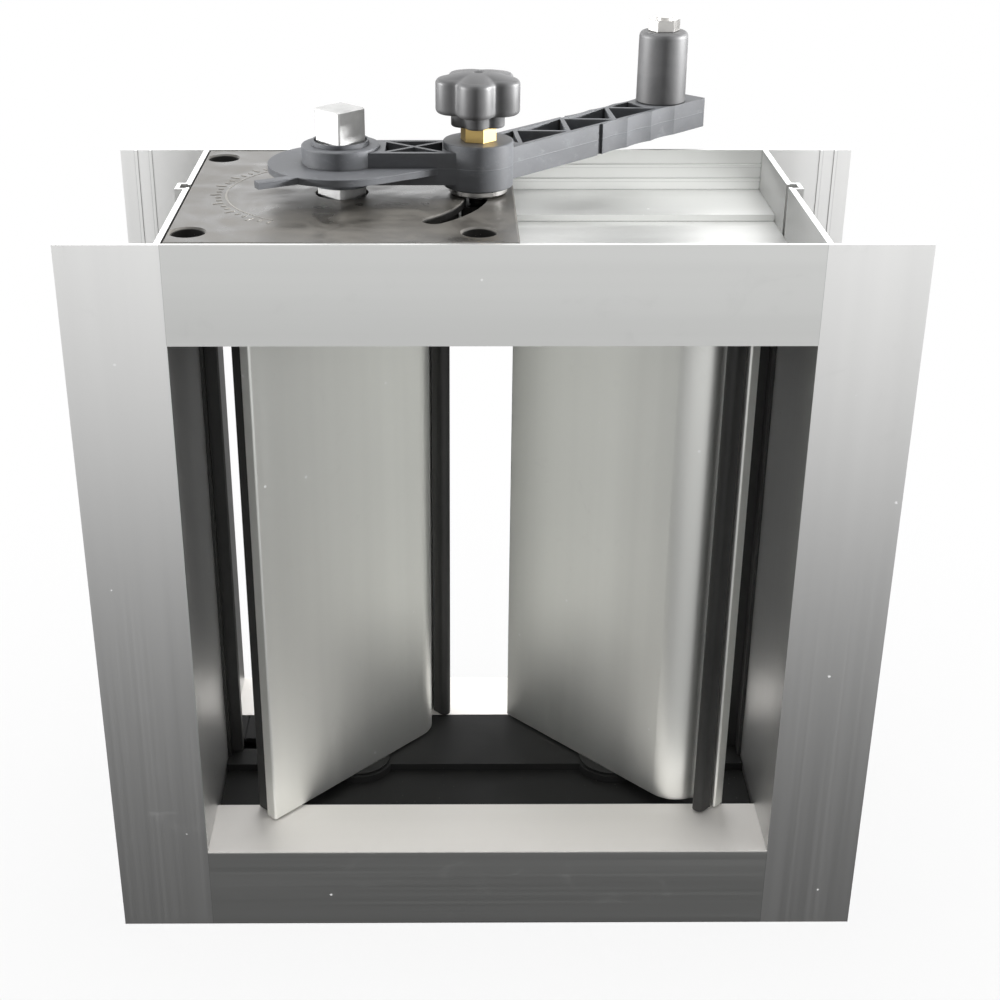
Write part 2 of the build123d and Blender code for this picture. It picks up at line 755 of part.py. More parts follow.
with BuildPart() as quadrant_base:
    with BuildSketch(base_foot_plane):
        Rectangle(base_length, base_depth)
    extrude(amount=quadrant_height)
    fillet(quadrant_base.faces().sort_by(Axis.Z)[-1].edges(), base_edge_radius)
    with BuildSketch(base_foot_plane):
        Rectangle(base_length - 2 * base_wall, base_depth - 2 * base_wall)
    extrude(amount=quadrant_height - base_top_wall, mode=Mode.SUBTRACT)
    with BuildSketch(shoulder_plane):
        with Locations(*base_screw_places):
            Circle(well_radius + well_wall)
        with Locations((-blade_axis, 0)):
            Circle(base_sleeve_bore + base_sleeve_wall)
    extrude(amount=quadrant_height - base_edge_radius)
    with BuildSketch(shaft_top_plane.offset(-base_top_wall)):
        for offset_side in (-1, 1):
            rib_radius = boss_offset + offset_side * (track_width + track_wall) / 2
            trace(arc_line(rib_radius), track_wall)
    extrude(amount=-track_height)
    with BuildSketch(shaft_top_plane):
        SlotArc(arc_line(boss_offset), slot_width)
        Circle(base_sleeve_bore)
    extrude(amount=-quadrant_height, mode=Mode.SUBTRACT)
    with BuildSketch(Plane.XY.offset(frame_top)):
        with Locations(*base_screw_places):
            Circle(well_radius)
    extrude(amount=-(quadrant_height - well_floor), mode=Mode.SUBTRACT)
    top_circles = quadrant_base.edges().filter_by(full_circle)
    well_rims = [edge for edge in top_circles.group_by(Axis.Z)[-1] if edge.radius < base_sleeve_bore]
    chamfer(well_rims, well_rim_chamfer)
    with BuildSketch(shoulder_plane):
        with Locations(*base_screw_places):
            Circle(base_screw_radius + screw_hole_clearance)
    extrude(amount=well_floor, mode=Mode.SUBTRACT)
quadrant_base.part.label = "quadrant_base"
export_step(quadrant_base.part, "parts/quadrant_base.step")

with BuildPart() as base_screws:
    with BuildSketch(shoulder_plane.offset(well_floor)):
        with Locations(*base_screw_places):
            Circle(base_screw_head_radius)
    extrude(amount=base_screw_head_height)
    with BuildSketch(shoulder_plane.offset(well_floor)):
        with Locations(*base_screw_places):
            Circle(base_screw_radius)
    extrude(amount=-base_screw_length)
    with BuildSketch(shoulder_plane.offset(well_floor + base_screw_head_height)):
        with Locations(*base_screw_places):
            RegularPolygon(screw_recess_radius, 6)
    extrude(amount=-screw_recess_depth, mode=Mode.SUBTRACT)
base_screws.part.label = "base_screws"
export_step(base_screws.part, "parts/base_screws.step")


def lever_plane(height):
    """The level plane at the drive shaft, with local X along the inner arm."""
    return Plane((-blade_axis, 0, frame_top + height))


def crank_plane(height):
    """The level plane at the clamp boss, with local X along the outer arm."""
    return Plane((boss_x, 0, frame_top + height), x_dir=(cos(crank), sin(crank), 0), z_dir=(0, 0, 1))


def lever_disc(plane, radius, top):
    """Add a round of the lever from its plane up to the height top above the frame."""
    with BuildSketch(plane) as outline:
        Circle(radius)
    extrude(outline.sketch, amount=frame_top + top - plane.origin.Z)


def draw_pocket(start, end, width, bays, leans):
    """Draw an arm's pocket in bays, less the ribs that cross each bay from corner to corner."""
    with Locations(((start + end) / 2, 0)):
        Rectangle(end - start, width)
    bay_length = (end - start) / bays
    rib_length = (bay_length ** 2 + width ** 2) ** 0.5
    for bay in range(bays):
        for lean in leans:
            rib_turn = lean * (-1) ** bay * degrees(atan(width / bay_length))
            with Locations((start + (bay + 0.5) * bay_length, 0)):
                Rectangle(rib_length, arm_rib, rotation=rib_turn, mode=Mode.SUBTRACT)


# Finger steps: shallow hollows along both sides of the outer arm, between narrow ridges
step_radius = (finger_step_pitch / 2) ** 2 / (2 * finger_step_depth) + finger_step_depth / 2
step_places = [(finger_step_start + (index + 0.5) * finger_step_pitch,
                side * (outer_arm_width / 2 + step_radius - finger_step_depth))
               for index in range(finger_step_count) for side in (-1, 1)]
groove_places = [(finger_step_start - finger_groove_width / 2, side * outer_arm_width / 2)
                 for side in (-1, 1)]

# The disc's wings run straight from the arm's sides to where they touch its circle
wing_corner = (wing_length ** 2 + (inner_arm_width / 2) ** 2) ** 0.5
wing_aim = atan(inner_arm_width / 2 / wing_length) + acos(disc_radius / wing_corner)
tangent_x = disc_radius * cos(wing_aim)
tangent_y = disc_radius * sin(wing_aim)

with BuildPart() as lever:
    with BuildSketch(lever_plane(arm_bottom)):
        Rectangle(boss_offset, inner_arm_width, align=(Align.MIN, Align.CENTER))
    extrude(amount=arm_top - arm_bottom)
    with BuildSketch(crank_plane(arm_bottom)):
        Rectangle(outer_arm_length, outer_arm_width, align=(Align.MIN, Align.CENTER))
        with Locations(*step_places):
            Circle(step_radius, mode=Mode.SUBTRACT)
        with Locations(*groove_places):
            Rectangle(finger_groove_width, 2 * finger_groove_depth, mode=Mode.SUBTRACT)
    extrude(amount=arm_top - arm_bottom)
    lever_disc(crank_plane(boss_bottom), boss_radius, boss_top)
    with BuildSketch(lever_plane(disc_bottom)):
        Circle(disc_radius)
        with BuildLine():
            Polyline((tangent_x, tangent_y), (wing_length, inner_arm_width / 2),
                     (wing_length, -inner_arm_width / 2), (tangent_x, -tangent_y), close=True)
        make_face()
        with Locations((-finger_reach, -finger_front)):
            Rectangle(finger_length, finger_width, rotation=finger_turn, align=(Align.MIN, Align.CENTER))
    extrude(amount=disc_top - disc_bottom)
    with BuildSketch(lever_plane(arm_top)):
        draw_pocket(inner_pocket_start, inner_pocket_end, inner_arm_width - 2 * arm_wall, 1, (-1, 1))
    extrude(amount=-(arm_top - arm_bottom - arm_floor), mode=Mode.SUBTRACT)
    with BuildSketch(crank_plane(arm_top)):
        draw_pocket(outer_pocket_start, outer_pocket_end,
                    outer_arm_width - 2 * arm_wall, outer_pocket_bays, (1,))
    extrude(amount=-(arm_top - arm_bottom - arm_floor), mode=Mode.SUBTRACT)
    lever_disc(lever_plane(hub_foot_bottom), hub_foot_radius, disc_bottom)
    lever_disc(lever_plane(disc_bottom), hub_radius, hub_top)
    lever_disc(lever_plane(disc_bottom), collar_radius, collar_top)
    full_circles = lever.edges().filter_by(full_circle)
    fillet([edge for edge in full_circles if edge.radius > boss_radius - rim_radius], rim_radius)
    with BuildSketch(lever_plane(collar_top)):
        Circle(collar_bore_radius)
    extrude(amount=-collar_bore_depth, mode=Mode.SUBTRACT)
    with BuildSketch(blade_plane(-1, frame_top)):
        Rectangle(channel_side, channel_side)
    extrude(amount=collar_top, mode=Mode.SUBTRACT)
    with BuildSketch(crank_plane(0)):
        Circle(clamp_bolt_radius + clamp_bolt_clearance)
        with Locations((grip_offset, 0)):
            Circle(grip_screw_radius + pilot_clearance)
    extrude(amount=boss_top, mode=Mode.SUBTRACT)
    with BuildSketch(crank_plane(arm_bottom)):
        with Locations((grip_offset, 0)):
            Circle(grip_screw_head_radius + screw_hole_clearance)
    extrude(amount=grip_screw_head_height, mode=Mode.SUBTRACT)
lever.part.label = "lever"
export_step(lever.part, "parts/lever.step")

with BuildPart() as clamp_washer:
    with BuildSketch(crank_plane(slide_gap)):
        Circle(washer_radius)
        Circle(clamp_bolt_radius + clamp_bolt_clearance, mode=Mode.SUBTRACT)
    extrude(amount=washer_height)
    washer_circles = clamp_washer.edges().filter_by(full_circle)
    chamfer([edge for edge in washer_circles if edge.radius == washer_radius], washer_chamfer)
clamp_washer.part.label = "clamp_washer"
export_step(clamp_washer.part, "parts/clamp_washer.step")

# The bolt head slides in the track under the base, its long side along the slot
bolt_head_width = track_width - 2 * bolt_head_side_gap
bolt_head_top = -base_top_wall - slide_gap
bolt_plane = Plane((boss_x, 0, frame_top + bolt_head_top))

with BuildPart() as clamp_bolt:
    with BuildSketch(bolt_plane):
        RectangleRounded(bolt_head_width, bolt_head_length, bolt_head_side_gap)
    extrude(amount=-bolt_head_height)
    with BuildSketch(bolt_plane):
        Circle(clamp_bolt_radius)
    extrude(amount=clamp_bolt_top - bolt_head_top)
clamp_bolt.part.label = "clamp_bolt"
export_step(clamp_bolt.part, "parts/clamp_bolt.step")

insert_bottom = boss_top + running_fit

with BuildPart() as knob_insert:
    with BuildSketch(Plane((boss_x, 0, frame_top + insert_bottom))):
        RegularPolygon(insert_radius, 6, rotation=insert_turn)
        Circle(clamp_bolt_radius + running_fit, mode=Mode.SUBTRACT)
    extrude(amount=insert_height)
knob_insert.part.label = "knob_insert"
export_step(knob_insert.part, "parts/knob_insert.step")

# The knob's head and its collar have the same lobed outline, the collar's on a smaller scale
with BuildSketch() as lobed_outline:
    Circle(knob_core_radius)
    with PolarLocations(knob_radius - knob_lobe_radius, knob_lobes, start_angle=knob_lobe_turn):
        Circle(knob_lobe_radius)
    fillet(lobed_outline.vertices(), knob_blend_radius)

with BuildPart() as clamp_knob:
    with BuildSketch(Plane((boss_x, 0, frame_top + knob_collar_top))):
        add(lobed_outline.sketch)
    extrude(amount=knob_top - knob_collar_top)
    fillet(clamp_knob.faces().sort_by(Axis.Z)[-1].edges(), knob_edge_radius)
    fillet(clamp_knob.faces().sort_by(Axis.Z)[0].edges(), knob_edge_radius)
    with BuildSketch(Plane((boss_x, 0, frame_top + knob_collar_bottom))):
        add(lobed_outline.sketch.scale(knob_collar_scale))
    extrude(amount=knob_collar_top - knob_collar_bottom)
    fillet(clamp_knob.faces().sort_by(Axis.Z)[0].outer_wire().edges(), knob_collar_edge_radius)
    with BuildSketch(Plane((boss_x, 0, frame_top + insert_bottom))):
        RegularPolygon(insert_radius + pilot_clearance, 6, rotation=insert_turn)
    extrude(amount=insert_height, mode=Mode.SUBTRACT)
    with BuildSketch(crank_plane(insert_bottom)):
        Circle(clamp_bolt_radius + clamp_bolt_clearance)
    extrude(amount=clamp_bolt_top + clamp_bolt_radius - insert_bottom, mode=Mode.SUBTRACT)
clamp_knob.part.label = "clamp_knob"
export_step(clamp_knob.part, "parts/clamp_knob.step")

grip_taper = degrees(atan((grip_base_radius - grip_top_radius) / grip_height))
grip_bottom = arm_top + grip_base_clearance
nut_bottom = grip_bottom + grip_height + grip_base_clearance
grip_plane = Plane((grip_x, grip_y, frame_top + grip_bottom))

with BuildPart() as grip_sleeve:
    with BuildSketch(grip_plane):
        Circle(grip_base_radius)
    extrude(amount=grip_height, taper=grip_taper)
    fillet(grip_sleeve.faces().sort_by(Axis.Z)[-1].edges(), grip_edge_radius)
    with BuildSketch(grip_plane):
        Circle(grip_screw_radius + running_fit)
    extrude(amount=grip_height, mode=Mode.SUBTRACT)
grip_sleeve.part.label = "grip_sleeve"
export_step(grip_sleeve.part, "parts/grip_sleeve.step")

with BuildPart() as grip_screw:
    with BuildSketch(Plane((grip_x, grip_y, frame_top + arm_bottom))):
        Circle(grip_screw_head_radius)
    extrude(amount=grip_screw_head_height)
    with BuildSketch(Plane((grip_x, grip_y, frame_top + arm_bottom))):
        Circle(grip_screw_radius)
    extrude(amount=nut_bottom + grip_nut_height + grip_screw_stand - arm_bottom)
grip_screw.part.label = "grip_screw"
export_step(grip_screw.part, "parts/grip_screw.step")

with BuildPart() as grip_nut:
    with BuildSketch(Plane((grip_x, grip_y, frame_top + nut_bottom))):
        RegularPolygon(grip_nut_across / 2, 6, major_radius=False)
        Circle(grip_screw_radius + pilot_clearance, mode=Mode.SUBTRACT)
    extrude(amount=grip_nut_height)
grip_nut.part.label = "grip_nut"
export_step(grip_nut.part, "parts/grip_nut.step")
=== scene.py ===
"""Finish, detail and stage of an opposed blade damper, laid out as a Blender add-on."""

import math

import bpy
import numpy as np
from mathutils import Matrix, Vector


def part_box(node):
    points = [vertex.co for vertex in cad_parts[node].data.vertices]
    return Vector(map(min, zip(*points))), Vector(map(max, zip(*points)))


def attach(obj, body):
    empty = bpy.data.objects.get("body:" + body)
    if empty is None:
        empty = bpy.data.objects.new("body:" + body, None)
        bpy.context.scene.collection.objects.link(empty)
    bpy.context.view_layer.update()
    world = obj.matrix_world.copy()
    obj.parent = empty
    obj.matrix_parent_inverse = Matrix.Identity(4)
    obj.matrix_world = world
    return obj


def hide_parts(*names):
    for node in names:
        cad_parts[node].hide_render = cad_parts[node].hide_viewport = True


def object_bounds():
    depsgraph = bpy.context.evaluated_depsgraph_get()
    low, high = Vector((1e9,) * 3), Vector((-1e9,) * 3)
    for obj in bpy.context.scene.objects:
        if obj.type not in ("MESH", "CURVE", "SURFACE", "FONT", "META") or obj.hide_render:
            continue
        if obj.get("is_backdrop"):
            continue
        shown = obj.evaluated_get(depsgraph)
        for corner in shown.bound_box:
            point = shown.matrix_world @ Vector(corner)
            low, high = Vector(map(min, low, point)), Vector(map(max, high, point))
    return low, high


bl_info = {
    "name": "Opposed Blade Damper",
    "version": (1, 0, 0),
    "blender": (4, 5, 0),
    "location": "3D View > Sidebar > Damper",
    "description": "Dresses a packed opposed blade damper and sets it on a pale stage",
    "category": "Object",
}

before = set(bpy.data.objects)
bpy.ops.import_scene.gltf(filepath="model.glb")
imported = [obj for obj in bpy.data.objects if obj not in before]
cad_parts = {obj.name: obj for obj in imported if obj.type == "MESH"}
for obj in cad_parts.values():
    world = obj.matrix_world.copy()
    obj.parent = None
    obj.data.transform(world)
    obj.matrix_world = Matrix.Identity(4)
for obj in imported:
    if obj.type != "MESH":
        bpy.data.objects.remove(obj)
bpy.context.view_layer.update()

MM = 0.001
UPRIGHTS = ("frame_left", "frame_right")
RAILS = ("frame_top", "frame_bottom")
BLADES = ("blade_1", "blade_2")
SEALS = ("side_seal_left", "side_seal_right", "blade_seals_1", "blade_seals_2")
HUBS = ("bottom_hub_1", "bottom_hub_2", "top_hub_1", "top_hub_2", "lower_bushes")
COVERS = ("gear_cover", "bearing_cover")
GEARS = ("blade_gear_1", "blade_gear_2", "idler_gear_1", "idler_gear_2")
STEEL = ("corner_screws", "base_screws", "clamp_washer", "grip_screw", "grip_nut", "idler_pins")

WHITE = (1.0, 1.0, 1.0)
LIP_GLINT = (1.0, 0.97, 0.94)
PALE_DUST = (0.42, 0.41, 0.39)
WARM_DUST = (0.5, 0.48, 0.44)

# Shares of open surroundings at which the painted shade of an inner corner starts and at which it is full
CREASE_START = 0.85
CREASE_FULL = 0.55
CREASE_SAMPLES = 6

# The clamp knob and the turned grip, in metres, as shares of a size, or as counts
LOBE_TIP = 1.035
NECK_HEIGHT = 0.4 * MM
NECK_FLARE = 1.03
DIMPLE_DEPTH = 0.6 * MM
DOME_POWER = 2.4
DOME_RINGS = 30
EDGE_STEPS = 8
KNOB_POINTS = 240
GRIP_TAPER = 0.955
GRIP_POINTS = 128

# One raised tick is a low dome on a rounded box: each ring's share of its outline and of its height,
# and the powers that square the outline off along the tick and across it
TICK_RINGS = ((1.0, -0.4), (1.0, 0.0), (0.92, 0.6), (0.72, 0.95), (0.35, 1.0))
TICK_SQUARENESS = (0.35, 0.5)
TICK_POINTS = 20
LONG_EVERY = 3

# The scale's inner line: its half width and half height as shares of a tick's width and height
LINE_HALF_WIDTH = 0.4
LINE_HALF_HEIGHT = 0.6
LINE_POINTS = 90
LINE_SECTION_POINTS = 10
# The scale's relief is the base's own plastic made this much lighter, painted light for the light its raised
# faces catch
RELIEF_LIGHTER = 3.0

# The camera at the photo's angle: its place in metres, its yaw, pitch and roll, its shift, and the
# width of its sensor in millimetres
CAMERA_PLACE = (-0.01333, -0.5489, 0.2815)
CAMERA_TURN = (0.0074, 0.4506, 0.0018)
CAMERA_SHIFT = (0.0381, -0.0005)
SENSOR_WIDTH = 36.0

# The soft lights, in metres
TOP_LIGHT_PLACE = (0.0, 0.1, 0.9)
TOP_LIGHT_SIZE = (1.1, 0.6)
TOP_LIGHT_AIM = 0.02
SIDE_LIGHT_AWAY = 0.9
SIDE_LIGHT_SIZE = (0.5, 0.06)

# Heights of a direction, level to upright from 0 to 1, over which the room's reflected light changes
GLOW_RISE = (0.0, 0.22)
OVERHEAD_RISE = (0.42, 0.60)

# The floor, and half the depth of the casing that stands on it
FLOOR_POINTS = 161
HALF_DEPTH = 60.0 * MM


# Surfaces worked out with numpy

def put_mesh(name, points, faces, material, body):
    """Make one smooth mesh from an array of points and a list of face index arrays, riding on a body."""
    loops = np.concatenate([block.reshape(-1) for block in faces]).astype(np.int32)
    totals = np.concatenate([np.full(len(block), block.shape[1], np.int32) for block in faces])
    starts = np.concatenate(([0], np.cumsum(totals)[:-1])).astype(np.int32)
    mesh = bpy.data.meshes.new(name)
    mesh.vertices.add(len(points))
    mesh.vertices.foreach_set("co", points.astype(np.float32).reshape(-1))
    mesh.loops.add(len(loops))
    mesh.loops.foreach_set("vertex_index", loops)
    mesh.polygons.add(len(totals))
    mesh.polygons.foreach_set("loop_start", starts)
    mesh.polygons.foreach_set("loop_total", totals)
    mesh.polygons.foreach_set("use_smooth", np.ones(len(totals), bool))
    mesh.update(calc_edges=True)
    mesh.validate()
    mesh.materials.append(material)
    piece = bpy.data.objects.new(name, mesh)
    bpy.context.scene.collection.objects.link(piece)
    if body:
        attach(piece, body)
    return piece


def wall_faces(rows, columns, closed=False):
    """Four-sided faces of a grid whose rows are closed rings, and whose last row may meet its first.

    Row r, column c is point r * columns + c. Each face joins a point, the next one round, and the two
    beside them in the next row.
    """
    row = np.arange(rows if closed else rows - 1)[:, None]
    start = row * columns
    next_start = (row + 1) % rows * columns
    across = np.arange(columns)[None, :]
    beside = (across + 1) % columns
    return np.stack((start + across, start + beside, next_start + beside, next_start + across),
                    axis=-1).reshape(-1, 4)


def ring_stack(rings):
    """Points and faces of a stack of rings, shape (rows, columns, 3), closed by a pole at each end.

    The last two points are the middles of the first and last ring, and a fan of triangles joins each of
    them to its ring.
    """
    rows, columns = rings.shape[:2]
    across = np.arange(columns)
    beside = (across + 1) % columns
    first_pole = rows * columns
    last_ring = first_pole - columns
    first_fan = np.stack((np.full(columns, first_pole), beside, across), axis=-1)
    last_fan = np.stack((np.full(columns, first_pole + 1), last_ring + across, last_ring + beside),
                        axis=-1)
    poles = np.stack((rings[0].mean(axis=0), rings[-1].mean(axis=0)))
    points = np.concatenate((rings.reshape(-1, 3), poles))
    return points, [wall_faces(rows, columns), first_fan, last_fan]


def rounded(corners, radius, steps):
    """Round the corners of a polyline: each inner corner becomes an even arc-like blend of its two legs.

    A corner is cut back by the radius on both legs and bridged by the quadratic curve
    (1 - t)^2 * start + 2 t (1 - t) * corner + t^2 * end, with t from 0 to 1.
    """
    corners = np.asarray(corners, float)
    before, middle, after = corners[:-2], corners[1:-1], corners[2:]
    radius = np.broadcast_to(np.asarray(radius, float), (len(middle),))[:, None]
    back = before - middle
    ahead = after - middle
    back_length = np.linalg.norm(back, axis=1, keepdims=True)
    ahead_length = np.linalg.norm(ahead, axis=1, keepdims=True)
    start = middle + back / back_length * np.minimum(radius, back_length / 2)
    end = middle + ahead / ahead_length * np.minimum(radius, ahead_length / 2)
    t = np.linspace(0.0, 1.0, steps)[None, :, None]
    curve = ((1 - t) ** 2 * start[:, None] + 2 * t * (1 - t) * middle[:, None]
             + t ** 2 * end[:, None])
    return np.concatenate((corners[:1], curve.reshape(-1, 2), corners[-1:]))


def lobed_radius(angle, lobes, tip, lobe, core, blend):
    """Radius of a star knob's outline at an angle from one lobe's middle.

    Each lobe is a circle of radius lobe whose far side reaches tip. Between lobes the outline follows a
    core circle. The two are joined by a smooth maximum: half their sum plus half the root of their
    squared difference plus the squared blend.
    """
    pitch = 2 * math.pi / lobes
    turn = (angle + pitch / 2) % pitch - pitch / 2
    centre = tip - lobe
    under_root = np.maximum(lobe ** 2 - (centre * np.sin(turn)) ** 2, 0.0)
    reach = centre * np.cos(turn) + np.sqrt(under_root)
    return (reach + core + np.sqrt((reach - core) ** 2 + blend ** 2)) / 2


def profile_rows(share, inset, height):
    """Rows of a star profile, each a share of the outline, an amount added to it and a height."""
    return np.stack(np.broadcast_arrays(share, inset, height), axis=-1).reshape(-1, 3)


def full_turn(count):
    """That many even angles round a full turn."""
    return np.linspace(0.0, 2 * math.pi, count, endpoint=False)


def turned(centre, angle, radius, height):
    """Points about an upright axis, each at an angle, a radius and a height."""
    return np.stack(np.broadcast_arrays(centre[0] + radius * np.cos(angle),
                                        centre[1] + radius * np.sin(angle), height), axis=-1)


def signed_power(value, power):
    """A value's size raised to a power, with the value's own sign."""
    return np.sign(value) * np.abs(value) ** power


# Materials and the room worked out with nodes

class NodeWork:
    """A node tree under construction, and the place or direction that its patterns follow."""

    def __init__(self, tree, place):
        self.tree = tree
        self.place = self.node("ShaderNodeTexCoord").outputs[place]

    def node(self, kind, **settings):
        """Make a node and give it its settings."""
        made = self.tree.nodes.new(kind)
        for key, value in settings.items():
            setattr(made, key, value)
        return made

    def join(self, output, node, socket):
        """Link an output to one of a node's sockets."""
        self.tree.links.new(output, node.inputs[socket])

    def give(self, value, node, socket):
        """Set one of a node's sockets to a number or colour, or link an output to it."""
        if isinstance(value, bpy.types.NodeSocket):
            self.join(value, node, socket)
        else:
            node.inputs[socket].default_value = value

    def combine(self, first, second, operation="MULTIPLY"):
        """Work out one value from two, each a number or an output."""
        maths = self.node("ShaderNodeMath", operation=operation)
        self.give(first, maths, 0)
        self.give(second, maths, 1)
        return maths.outputs["Value"]

    def lift(self, value, amount, share):
        """Add a share of an amount to a value."""
        maths = self.node("ShaderNodeMath", operation="MULTIPLY_ADD")
        self.give(amount, maths, 0)
        self.give(share, maths, 1)
        self.give(value, maths, 2)
        return maths.outputs["Value"]

    def away(self, value, level=0.0):
        """How far a value lies from a level, above or below it."""
        return self.combine(self.combine(value, level, "SUBTRACT"), 0.0, "ABSOLUTE")

    def part(self, name, vector=None):
        """The X, Y or Z part of a vector, or of the place."""
        parts = self.node("ShaderNodeSeparateXYZ")
        self.join(self.place if vector is None else vector, parts, "Vector")
        return parts.outputs[name]

    def spread(self, value, low, high, out_low=0.0, out_high=1.0, kind="LINEAR"):
        """Stretch a value's range from low and high to out_low and out_high, clamped."""
        stretch = self.node("ShaderNodeMapRange", interpolation_type=kind)
        stretch.inputs["From Min"].default_value = low
        stretch.inputs["From Max"].default_value = high
        stretch.inputs["To Min"].default_value = out_low
        stretch.inputs["To Max"].default_value = out_high
        self.join(value, stretch, "Value")
        return stretch.outputs["Result"]

    def background(self, colour, strength):
        """Even light of a colour and a strength, each plain or worked out."""
        light = self.node("ShaderNodeBackground")
        self.give(colour, light, "Color")
        self.give(strength, light, "Strength")
        return light.outputs["Background"]

    def choose(self, amount, first, second):
        """Blend from one shader to another by an amount."""
        mix = self.node("ShaderNodeMixShader")
        self.join(amount, mix, "Fac")
        self.join(first, mix, 1)
        self.join(second, mix, 2)
        return mix.outputs["Shader"]


class Finish(NodeWork):
    """One material under construction: a shader with plain numbers and the patterns that vary them.

    Patterns are in metres on the object's own coordinates.
    """

    def __init__(self, name, colour, roughness, metallic=0.0, specular=0.5):
        self.material = bpy.data.materials.new(name)
        self.material.use_nodes = True
        self.material.diffuse_color = (*colour, 1.0)
        super().__init__(self.material.node_tree, "Object")
        self.shader = self.tree.nodes["Principled BSDF"]
        self.shader.inputs["Base Color"].default_value = (*colour, 1.0)
        self.shader.inputs["Roughness"].default_value = roughness
        self.shader.inputs["Metallic"].default_value = metallic
        self.shader.inputs["Specular IOR Level"].default_value = specular
        self.normal = None

    def noise(self, rates, detail=3.0, rough=0.55, distortion=0.0):
        """Cloud noise with the given number of waves per metre, one for all axes or one for each."""
        mapping = self.node("ShaderNodeMapping")
        mapping.inputs["Scale"].default_value = rates if isinstance(rates, tuple) else (rates,) * 3
        self.join(self.place, mapping, "Vector")
        noise = self.node("ShaderNodeTexNoise")
        noise.inputs["Scale"].default_value = 1.0
        noise.inputs["Detail"].default_value = detail
        noise.inputs["Roughness"].default_value = rough
        noise.inputs["Distortion"].default_value = distortion
        self.join(mapping.outputs["Vector"], noise, "Vector")
        return noise.outputs["Fac"]

    def specks(self, rate, outer, inner):
        """Specks in cells, that many to the metre: full within the inner share of a cell, none past outer."""
        voronoi = self.node("ShaderNodeTexVoronoi", feature="F1")
        voronoi.inputs["Scale"].default_value = rate
        self.join(self.place, voronoi, "Vector")
        return self.spread(voronoi.outputs["Distance"], outer, inner)

    def crease_shade(self, reach):
        """How near a point lies to an inner corner or a gap, a mask for painted shade: one deep inside it,
        nothing in the open.
        """
        shelter = self.node("ShaderNodeAmbientOcclusion", samples=CREASE_SAMPLES)
        shelter.inputs["Distance"].default_value = reach
        return self.spread(shelter.outputs["AO"], CREASE_START, CREASE_FULL)

    def uneven(self, pattern, roughness, less=0.05, more=0.08):
        """A roughness that a cloud pattern lowers and raises by up to the amounts given."""
        return self.spread(pattern, 0.3, 0.7, roughness - less, roughness + more)

    def tint(self, amount, base, second, share=1.0):
        """Blend from a base, a colour or an output, to a second colour by a share of an amount."""
        base_socket, second_socket, blended = 6, 7, 2  # the Mix node's colour sockets
        mix = self.node("ShaderNodeMix", data_type="RGBA")
        self.join(self.combine(amount, share), mix, "Factor")
        self.give((*base, 1.0) if isinstance(base, tuple) else base, mix, base_socket)
        self.give((*second, 1.0), mix, second_socket)
        return mix.outputs[blended]

    def bump(self, height, depth, strength=1.0):
        """Add a height pattern of a real depth in metres to the surface normal."""
        bump = self.node("ShaderNodeBump")
        bump.inputs["Strength"].default_value = strength
        bump.inputs["Distance"].default_value = depth
        self.join(height, bump, "Height")
        if self.normal is not None:
            self.join(self.normal, bump, "Normal")
        self.normal = bump.outputs["Normal"]

    def done(self, colour=None, roughness=None):
        """Link what was worked out to the shader and return the material."""
        if colour is not None:
            self.join(colour, self.shader, "Base Color")
        if roughness is not None:
            self.join(roughness, self.shader, "Roughness")
        if self.normal is not None:
            self.join(self.normal, self.shader, "Normal")
        return self.material


def lighter(colour, factor):
    """A colour made lighter or darker by a factor, kept under full white."""
    return tuple(min(channel * factor, 1.0) for channel in colour)


def drawn_out(along, lengthwise, across):
    """Waves per metre on each axis for a pattern that is drawn out along one of them."""
    return tuple(lengthwise if axis == along else across for axis in "XYZ")


